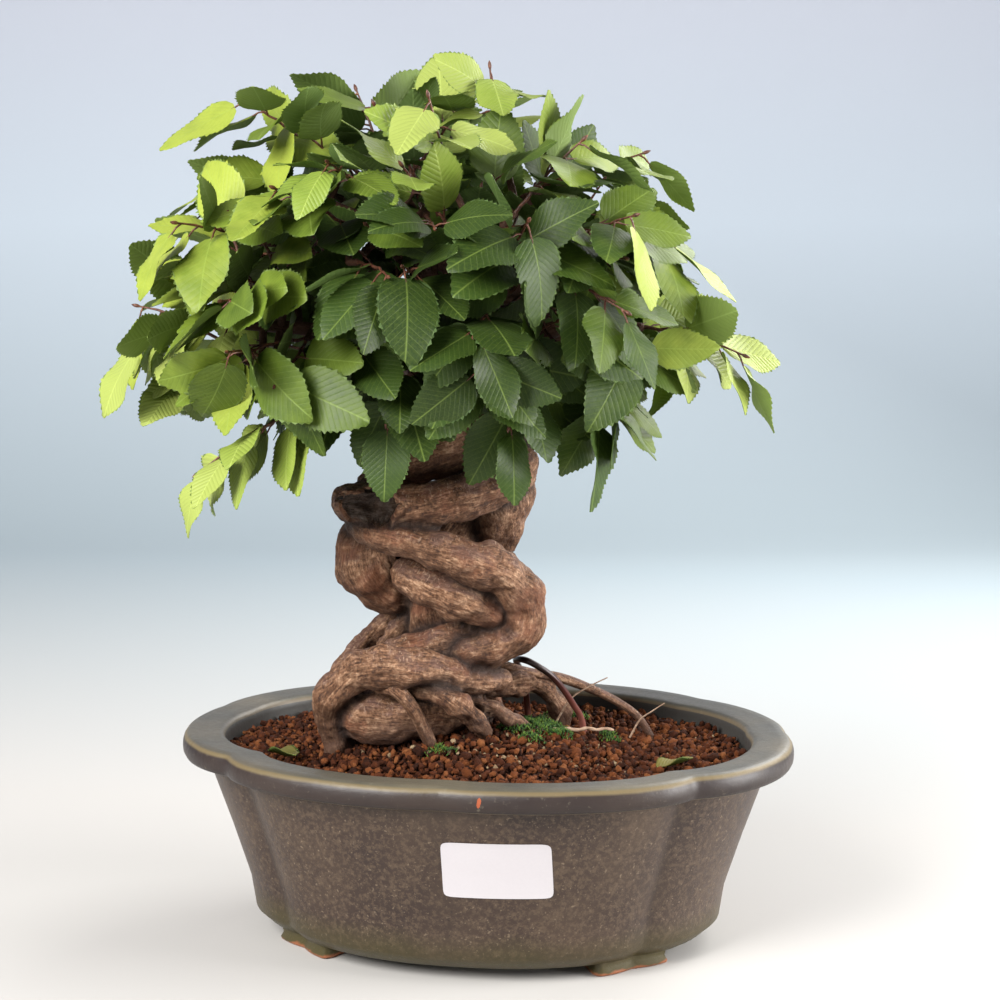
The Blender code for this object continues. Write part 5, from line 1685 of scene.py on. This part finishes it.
BARK_TONES = ((0.41, (0.034, 0.012, 0.005)), (0.465, (0.115, 0.050, 0.022)),
              (0.525, (0.235, 0.118, 0.062)), (0.60, (0.480, 0.295, 0.180)))
DUSKY_BARK = (0.095, 0.046, 0.036)
RUSTY_BARK = (0.180, 0.060, 0.026)
PALE_BARK = (0.50, 0.34, 0.24)
DARK_FLECK = (0.040, 0.015, 0.008)
BARK_CRACK = (0.050, 0.020, 0.011)
SHADED_BARK = (0.062, 0.027, 0.015)
YOUNG_WOOD = (0.075, 0.030, 0.018)
LOW_BARK = (0.066, 0.031, 0.019)
# Painted shade for the crevices between limbs and the knots' pits
PAINTED_CREVICE_SHADE = (0.018, 0.008, 0.005)
TAR = (0.012, 0.007, 0.005)
WORN_TAR = (0.070, 0.042, 0.028)


def bark_finish():
    """Tan bark: streaks, cracks and pale ticks along each limb, dusky mottling on what faces up, rusty
    patches. The pale ticks are strongest on what faces up, a painted highlight. It has painted shade
    underneath, in the crevices between limbs and in the knots' pits, is darker near the soil and on
    young wood, and there is tar in the wound."""
    f = Finish("bark_fine")
    place = f.vector("grain_place")
    streaks = f.noise(f.scaled(place, (0.17, 1.0, 1.0)), 1.2, 6.0, 0.65, 0.5)
    ticks = f.noise(f.scaled(place, (1.9, 0.5, 0.5)), 0.9, 2.0, 0.5)
    fibre = f.noise(f.scaled(place, (0.22, 1.0, 1.0)), 0.75, 4.0, 0.6, 0.8)
    fibre = f.math("ABSOLUTE", f.less(fibre, 0.5))
    flecks = f.noise(f.scaled(place, (0.6, 1.0, 1.0)), 1.9, 3.0, 0.6)
    grit = f.noise(f.place(), 620.0, 4.0, 0.65)
    patches = f.noise(f.place(), 48.0, 4.0, 0.6)
    net = f.cells(f.scaled(place, (0.45, 1.0, 1.0)), 0.62, "DISTANCE_TO_EDGE")
    mottle = f.noise(f.place(), 120.0, 5.0, 0.65)
    mixed = f.plus(f.times(streaks, 0.38), f.times(grit, 0.32))
    wood = f.ramp(f.plus(mixed, f.times(mottle, 0.30)), *BARK_TONES)
    upwards = f.parts(f.node("NewGeometry").outputs["Normal"])[2]
    facing = f.plus(upwards, f.times(patches, 1.1))
    mottled = f.ramp(mottle, (0.46, 0.0), (0.56, 0.75))
    wood = f.mix(f.times(f.ramp(facing, (0.75, 0.0), (1.15, 1.0)), mottled), wood, DUSKY_BARK)
    wood = f.mix(f.ramp(patches, (0.52, 0.0), (0.64, 0.6)), wood, RUSTY_BARK)
    # Painted highlight: the pale ticks show most on what faces up, where the light falls.
    lit = f.ramp(upwards, (0.1, 0.15), (0.7, 1.0))
    wood = f.mix(f.times(f.ramp(ticks, (0.60, 0.0), (0.68, 0.5)), lit), wood, PALE_BARK)
    wood = f.mix(f.ramp(flecks, (0.33, 0.7), (0.39, 0.0)), wood, DARK_FLECK)
    wood = f.mix(f.ramp(fibre, (0.0, 0.6), (0.010, 0.0)), wood, BARK_CRACK)
    wood = f.mix(f.ramp(net, (0.0, 0.25), (0.05, 0.0)), wood, BARK_CRACK)
    # Painted shade: the bark darkens on what faces down.
    painted_underside_shade = f.ramp(f.times(upwards, -1.0), (0.0, 0.0), (0.75, 0.6))
    wood = f.mix(painted_underside_shade, wood, SHADED_BARK)
    wood = f.mix(f.times(f.number("young_wood"), 0.8), wood, YOUNG_WOOD)
    # Darker towards the soil.
    near_soil = f.plus(f.times(f.parts(f.place())[2], 10.0), f.times(patches, 0.3))
    wood = f.mix(f.ramp(near_soil, (0.88, 0.8), (1.22, 0.0)), wood, LOW_BARK)
    # Painted shade in the crevices between limbs and in the knots' pits.
    wood = f.mix(f.times(f.number("crevice"), 0.9), wood, PAINTED_CREVICE_SHADE)
    tar = f.mix(f.noise(f.place(), 260.0), TAR, WORN_TAR)
    wound = wound_mask(f)
    coarse = f.bump(streaks, 0.8, 0.9)
    cracks = f.bump(f.ramp(fibre, (0.0, 0.0), (0.03, 1.0)), 0.6, 0.5, coarse)
    fine = f.bump(f.plus(flecks, f.times(grit, 0.8)), 0.5, 0.5, cracks)
    f.set(Specular_IOR_Level=0.36)
    return f.finish(f.mix(wound, wood, tar), f.less(0.66, f.times(wound, 0.40)), fine)


def wound_mask(f):
    """Where the tar lies: the points' own share, cut off sharply along a ragged edge."""
    ragged = f.times(f.less(f.noise(f.place(), 300.0, 4.0), 0.5), 0.5)
    return f.ramp(f.plus(f.number("wound"), ragged), (0.50, 0.0), (0.56, 1.0))


TWIG_TONES = ((0.35, (0.040, 0.013, 0.008)), (0.62, (0.135, 0.045, 0.022)),
              (0.75, (0.26, 0.12, 0.06)))


def twig_finish():
    """Red-brown young wood with pale dots."""
    f = Finish("twig_red_brown")
    spots = f.noise(f.place(), 900.0, 2.0)
    return f.finish(f.ramp(spots, *TWIG_TONES), 0.5, f.bump(spots, 0.4, 0.3))


VEIN_PAIRS = 12.0
VEIN_SLOPE = 0.95


def vein_lines(f):
    """Pairs of side veins that leave the midrib forwards: a wave between them, and how strongly
    a side vein and the midrib show.

    With x and y the place on the blade over its length, a vein runs wherever VEIN_PAIRS times
    y - VEIN_SLOPE |x| is whole. The wave is the sine of that times pi, without its sign, so it is
    nought on a vein.
    """
    place = f.parts(f.vector("vein_place"))
    aside = f.math("ABSOLUTE", place[0])
    run = f.less(place[1], f.times(aside, VEIN_SLOPE))
    wave = f.math("ABSOLUTE", f.math("SINE", f.times(run, VEIN_PAIRS * math.pi)))
    side = f.math("SUBTRACT", 1.0, f.times(wave, 4.5), clamp=True)
    rib = f.math("SUBTRACT", 1.0, f.times(aside, 70.0), clamp=True)
    return wave, side, rib


SCORCHED = (0.13, 0.040, 0.012)
SCORCHED_YOUNG = (0.26, 0.075, 0.02)
LEAF_RIM = (0.30, 0.27, 0.05)
# Dark, middle and light tone of each kind of leaf, and the light that it lets through
LEAF_TONES = {
    "green": ((0.010, 0.026, 0.005), (0.025, 0.056, 0.009), (0.150, 0.215, 0.022),
              (0.30, 0.42, 0.03)),
    "young": ((0.095, 0.165, 0.018), (0.210, 0.300, 0.036), (0.350, 0.420, 0.095),
              (0.42, 0.48, 0.10)),
    "under": ((0.050, 0.095, 0.025), (0.095, 0.155, 0.038), (0.170, 0.240, 0.060),
              (0.36, 0.50, 0.05)),
    "faded": ((0.07, 0.07, 0.012), (0.12, 0.12, 0.022), (0.20, 0.16, 0.04), (0.26, 0.25, 0.04)),
}
LIME = (0.360, 0.430, 0.060)


def leaf_finish(kind, rough, relief, brown=SCORCHED, palest=None):
    """A leaf's face: each leaf's own tone, which on the crown's leaves also holds painted light and
    shade, fine pale veins, quilting by the relief, a pale rim, scorched edges, and some light let
    through."""
    deep, mid, bright, glow = LEAF_TONES[kind]
    f = Finish(f"leaf_{kind}_fine")
    wave, side, rib = vein_lines(f)
    blotch = f.noise(f.place(), 150.0, 3.0)
    tone = f.plus(f.times(f.number("tone"), 0.6), f.times(blotch, 0.28))
    blade = f.ramp(tone, (0.12, deep), (0.44, mid), (0.74, bright), (0.98, palest or bright))
    blade = f.mix(f.times(f.cells(f.vector("vein_place"), 42.0), 0.22), blade, bright)
    lines = f.math("MAXIMUM", f.times(side, 0.15), f.times(rib, 0.34))
    blade = f.mix(lines, blade, tuple(min(1.0, 0.05 + 1.9 * v) for v in bright))
    ragged = f.plus(f.number("edge"), f.times(f.noise(f.place(), 260.0, 4.0), 0.6))
    burnt = f.times(f.ramp(ragged, (1.08, 0.0), (1.20, 1.0)), f.number("scorch"))
    rim = f.times(f.ramp(ragged, (1.18, 0.0), (1.30, 1.0)), 0.5)
    colour = f.mix(burnt, f.mix(rim, blade, LEAF_RIM), brown)
    quilt = f.bump(wave, relief, 0.8)
    fine = f.bump(f.noise(f.place(), 520.0, 3.0), 0.18, 0.5, quilt)
    grooves = f.bump(f.less(1.0, f.math("MAXIMUM", side, rib)), 0.25, 0.25, fine)
    f.set(Specular_IOR_Level=0.34)
    f.finish(colour, f.plus(rough - 0.06, f.times(blotch, 0.14)), grooves)
    through = f.node("BsdfTranslucent")
    f.join(f.mix(0.5, colour, glow), through.inputs["Color"])
    both = f.node("MixShader")
    f.join(0.24, both.inputs[0])
    f.join(f.shader.outputs[0], both.inputs[1])
    f.join(through.outputs[0], both.inputs[2])
    f.join(both.outputs[0], f.out.inputs["Surface"])
    return f.material


GLAZE_TONES = ((0.32, (0.022, 0.012, 0.010)), (0.50, (0.035, 0.020, 0.014)),
               (0.70, (0.058, 0.036, 0.023)))
GLAZE_GRIT = (0.115, 0.078, 0.049)
GLAZE_SPECK = (0.24, 0.18, 0.12)
PAINTED_CREASE_SHADE = (0.020, 0.011, 0.008)
GLAZE_PIT = (0.010, 0.007, 0.006)
OLIVE_GLAZE = (0.054, 0.044, 0.010)
# The rim's top: its glaze colour lightened by a painted sky sheen
RIM_TOP_GLAZE_AND_SHEEN = ((0.055, 0.054, 0.044), (0.105, 0.090, 0.062))
RIM_SIDE_TONES = ((0.014, 0.008, 0.008), (0.028, 0.017, 0.013))
THIN_GLAZE = (0.135, 0.100, 0.048)
RIM_INNER_EDGE = (0.120, 0.092, 0.055)
RIM_GRIT = (0.20, 0.17, 0.12)
INSIDE_GLAZE = (0.045, 0.042, 0.038)
FOOT_CLAY = (0.25, 0.085, 0.035)
CHIP_CLAY = (0.30, 0.070, 0.026)


def glaze_finish():
    """Dark purple-brown glaze: olive where it runs thin at the foot, and thin in lines along the rim's
    edges. It is greyer and lighter on top of the rim, the glaze's own colour with a painted sky sheen,
    with grit, pale specks, soft clouding, painted shade down the creases, dark pits near them, bare
    orange clay along the feet, and a chip."""
    f = Finish("pot_glaze_fine")
    place = f.place()
    split = f.parts(place)
    height = f.times(split[2], 1000.0)
    cloud = f.noise(place, 24.0, 4.0, 0.6)
    speck = f.noise(place, 900.0, 2.0, 0.5)
    grit = f.noise(place, 520.0, 5.0, 0.75)
    wall = f.ramp(cloud, *GLAZE_TONES)
    wall = f.mix(f.ramp(grit, (0.46, 0.0), (0.64, 0.65)), wall, GLAZE_GRIT)
    wall = f.mix(f.ramp(speck, (0.64, 0.0), (0.72, 0.5)), wall, GLAZE_SPECK)
    crease = f.number("crease")
    # Painted shade down each notch's crease.
    wall = f.mix(f.times(crease, 0.5), wall, PAINTED_CREASE_SHADE)
    pits = f.ramp(speck, (0.26, 0.9), (0.31, 0.0))
    wall = f.mix(f.times(pits, f.plus(f.times(crease, 1.2), 0.3)), wall, GLAZE_PIT)
    low = f.math("DIVIDE", f.plus(height, f.times(cloud, 16.0)), 60.0)
    wall = f.mix(f.ramp(low, (0.20, 0.85), (0.46, 0.0)), wall, OLIVE_GLAZE)
    band = f.number("band")
    soft = f.ramp(cloud, (0.35, 0.0), (0.65, 1.0))
    rim_along = f.plus(f.less(band, 2.0), f.times(f.less(cloud, 0.5), 0.10))
    rim = f.mix(soft, *RIM_SIDE_TONES)
    rim = f.mix(f.ramp(rim_along, (0.455, 0.0), (0.50, 1.0)), rim, THIN_GLAZE)
    # The rim's top: greyer glaze and a painted sky sheen together.
    rim = f.mix(f.ramp(rim_along, (0.54, 0.0), (0.58, 1.0)), rim, f.mix(soft, *RIM_TOP_GLAZE_AND_SHEEN))
    rim = f.mix(f.ramp(rim_along, (0.10, 1.0), (0.15, 0.0)), rim, THIN_GLAZE)
    rim = f.mix(f.ramp(rim_along, (0.90, 0.0), (0.96, 1.0)), rim, RIM_INNER_EDGE)
    rim = f.mix(f.ramp(grit, (0.60, 0.0), (0.72, 0.4)), rim, RIM_GRIT)
    on_rim = f.times(f.math("GREATER_THAN", band, 1.2), f.math("LESS_THAN", band, 3.2))
    colour = f.mix(on_rim, wall, rim)
    colour = f.mix(f.math("GREATER_THAN", band, 3.2), colour, INSIDE_GLAZE)
    bare = f.math("DIVIDE", f.plus(height, f.times(f.noise(place, 130.0, 3.0), 4.0)), 10.0)
    colour = f.mix(f.ramp(bare, (0.26, 1.0), (0.33, 0.0)), colour, FOOT_CLAY)
    chip = chip_mask(f, split, height)
    rough = f.plus(f.plus(0.30, f.times(grit, 0.32)), f.times(chip, 0.4))
    grain = f.bump(grit, 0.3, 0.5)
    runs = f.bump(f.noise(f.scaled(place, (1, 1, 0.35)), 70.0, 3.0), 0.25, 1.6, grain)
    f.set(Specular_IOR_Level=0.42, Coat_Weight=0.05, Coat_Roughness=0.2)
    return f.finish(f.mix(chip, colour, CHIP_CLAY), rough, runs)


def chip_mask(f, split, height):
    """The little chip in the rim's front where bare orange clay shows: a small upright oval whose
    edge is ragged by noise."""
    across = f.less(f.times(split[0], 1000.0), CHIP[0] + POT_PLACE[0])
    aside = f.math("DIVIDE", across, CHIP_RADII[0])
    upward = f.math("DIVIDE", f.less(height, CHIP[1]), CHIP_RADII[1])
    far = f.plus(f.times(aside, aside), f.times(upward, upward))
    ragged = f.plus(far, f.times(f.noise(f.place(), 600.0, 3.0), 1.2))
    front = f.math("LESS_THAN", split[1], -0.06)
    return f.times(f.ramp(ragged, (0.95, 1.0), (1.25, 0.0)), front)


CLAY_TONES = ((0.3, (0.30, 0.085, 0.035)), (0.6, (0.52, 0.20, 0.09)), (0.8, (0.10, 0.06, 0.04)))


def bare_clay_finish():
    """Orange clay without glaze, gritty, with dark specks."""
    f = Finish("bare_clay")
    grit = f.noise(f.place(), 500.0, 4.0, 0.6)
    return f.finish(f.ramp(grit, *CLAY_TONES), 0.85, f.bump(grit, 0.5, 0.4))


GRANULE_TONES = ((0.20, (0.012, 0.003, 0.001)), (0.50, (0.056, 0.014, 0.004)),
                 (0.76, (0.125, 0.036, 0.010)), (1.0, (0.24, 0.092, 0.032)))
PALE_GRANULE = (0.30, 0.22, 0.13)


def soil_finish():
    """Red-brown baked clay: each granule its own tone, some pale, all finely pitted."""
    f = Finish("clay_granule")
    fine = f.noise(f.place(), 800.0, 4.0, 0.7)
    tone = f.plus(f.times(f.number("tone"), 0.62), f.times(fine, 0.5))
    colour = f.mix(f.number("pale"), f.ramp(tone, *GRANULE_TONES), PALE_GRANULE)
    f.set(Specular_IOR_Level=0.2)
    return f.finish(colour, 0.95, f.bump(fine, 1.0, 1.0))


MOSS_TONES = ((0.0, (0.008, 0.026, 0.003)), (0.6, (0.030, 0.095, 0.006)),
              (1.0, (0.120, 0.190, 0.015)))


def moss_finish():
    """Fresh green moss, each blade its own tone."""
    f = Finish("moss_green")
    return f.finish(f.ramp(f.number("tone"), *MOSS_TONES), 0.85)


WIRE_TONES = ((0.72, (0.27, 0.095, 0.070)), (0.85, (0.105, 0.028, 0.022)),
              (0.96, (0.018, 0.009, 0.008)))


def wire_finish():
    """Brown anodised aluminium: dark and glossy high up, redder near the soil, with scuffs."""
    f = Finish("brown_wire_fine")
    height = f.times(f.parts(f.place())[2], 10.0)
    scuffs = f.noise(f.place(), 500.0, 3.0)
    rough = f.plus(0.22, f.times(scuffs, 0.2))
    f.set(Metallic=0.35)
    return f.finish(f.ramp(height, *WIRE_TONES), rough, f.bump(scuffs, 0.2, 0.2))


def paper_finish():
    """Smooth white label paper with the faintest fibre."""
    f = Finish("label_paper_fine")
    fibre = f.noise(f.place(), 1200.0, 3.0)
    colour = f.mix(fibre, (0.50, 0.475, 0.495), (0.54, 0.51, 0.53))
    return f.finish(colour, 0.42, f.bump(fibre, 0.08, 0.1))


DRY_TONES = ((0.3, (0.16, 0.090, 0.055)), (0.65, (0.38, 0.26, 0.18)))


def dry_finish():
    """Grey-brown dead wood with streaks."""
    f = Finish("dry_wood_fine")
    streak = f.noise(f.scaled(f.place(), (0.3, 1, 1)), 900.0, 3.0)
    return f.finish(f.ramp(streak, *DRY_TONES), 0.85, f.bump(streak, 0.5, 0.3))


def make_paints():
    """Every finish, by the name under which the pieces ask for it."""
    return {
        "bark": bark_finish(),
        "twig": twig_finish(),
        "leaf_upper_green": leaf_finish("green", 0.47, 0.07, palest=LIME),
        "leaf_upper_young": leaf_finish("young", 0.44, 0.22, SCORCHED_YOUNG),
        "leaf_under": leaf_finish("under", 0.62, 0.15),
        "leaf_faded": leaf_finish("faded", 0.6, 0.2),
        "glaze": glaze_finish(),
        "bare_clay": bare_clay_finish(),
        "soil": soil_finish(),
        "moss": moss_finish(),
        "wire": wire_finish(),
        "paper": paper_finish(),
        "dry": dry_finish(),
    }


# Stage, light and camera


FLOOR_COLOUR = (0.470, 0.455, 0.437)
BACKDROP_TONES = ((0.0, (0.42, 0.49, 0.525)), (0.25, (0.60, 0.665, 0.735)),
                  (1.0, (0.585, 0.50, 0.585)))


def backdrop_finish():
    """A pale floor that passes into the backdrop's colours, which change with the height."""
    f = Finish("pale_floor")
    place = f.parts(f.place())
    wall = f.ramp(place[2], *BACKDROP_TONES)
    shade = f.mix(f.ramp(place[1], (0.15, 0.0), (0.80, 1.0)), FLOOR_COLOUR, wall)
    return f.finish(shade, 0.9)


def make_stage():
    """A pale floor that runs up into a backdrop: a profile with a quarter circle, swept sideways."""
    turn = np.linspace(0, np.pi / 2, 14)
    floor = np.array([(STAGE_FRONT, 0.0), (STAGE_BEND, 0.0)])
    bend = np.stack([STAGE_BEND + BEND_RADIUS * np.sin(turn),
                     BEND_RADIUS - BEND_RADIUS * np.cos(turn)], -1)
    profile = np.concatenate([floor, bend[1:], [(STAGE_BEND + BEND_RADIUS, STAGE_TOP)]])
    grid = np.stack(np.broadcast_arrays(np.array([-STAGE_HALF_WIDTH, STAGE_HALF_WIDTH]),
                                        profile[:, :1], profile[:, 1:]), -1)
    cells = quads_of(len(profile), 2, False)
    mesh = build_mesh("pale_stage", in_pot(grid).reshape(-1, 3), [cells])
    mesh.materials.append(backdrop_finish())
    linked(mesh.name, mesh)


def area_light(name, place, aim, size, power, colour):
    """A square light at a place of the viewing frame, turned to its aim."""
    light = bpy.data.lights.new(name, "AREA")
    light.size = size * MM
    light.energy = power
    light.color = colour
    obj = linked(name, light)
    place, aim = Vector(in_pot(place)), Vector(in_pot(aim))
    obj.location = place * MM
    obj.rotation_euler = (aim - place).to_track_quat("-Z", "Y").to_euler()


def make_light():
    """Soft light: a broad one from above and left, a fill from the right, and one from behind."""
    for name, settings in LIGHTS.items():
        area_light(name, *settings)
    bpy.context.scene.view_settings.view_transform = "Standard"
    world = bpy.data.worlds.new("room")
    world.use_nodes = True
    room = world.node_tree.nodes["Background"].inputs
    room[0].default_value = ROOM_COLOUR
    room[1].default_value = ROOM_STRENGTH
    bpy.context.scene.world = world


def make_camera():
    """The camera: behind LOOK_AT by the distance, turned and raised as the photograph shows."""
    turn, flat = CAMERA_TURN, math.cos(CAMERA_RISE)
    back = Vector((math.sin(turn) * flat, -math.cos(turn) * flat, math.sin(CAMERA_RISE)))
    aim = Vector(LOOK_AT) + Vector((*POT_PLACE, 0))
    lens = bpy.data.cameras.new("camera")
    lens.lens = CAMERA_LENS
    lens.sensor_width = 36.0
    lens.clip_start = 0.01
    obj = linked("camera", lens)
    obj.location = (aim + back * CAMERA_DISTANCE) * MM
    obj.rotation_euler = back.to_track_quat("Z", "Y").to_euler()
    bpy.context.scene.camera = obj


def build():
    """The shoots and leaves of the solids first, then the filling ones, then every piece."""
    paints = make_paints()
    wood = wood_trees()
    shoots = place_shoots(wood)
    blades = place_leaves(shoots, wood)
    shoots = [shoot for shoot in shoots if shoot["leaves"]]
    solid_count = len(shoots)
    fill_crown(shoots, wood, blades)
    shoots = [shoot for shoot in shoots if shoot["leaves"]]
    make_leafy_shoots(shoots, solid_count, paints)
    make_branches(paints, shoots)
    make_trunk(paints)
    make_fine_roots(paints)
    make_pot(paints)
    make_label(paints)
    make_soil_bed(paints)
    make_granules(paints)
    make_moss(paints)
    make_wire(paints)
    make_dry_bits(paints)
    make_fallen_leaves(paints)
    make_stage()
    make_light()
    make_camera()


build()
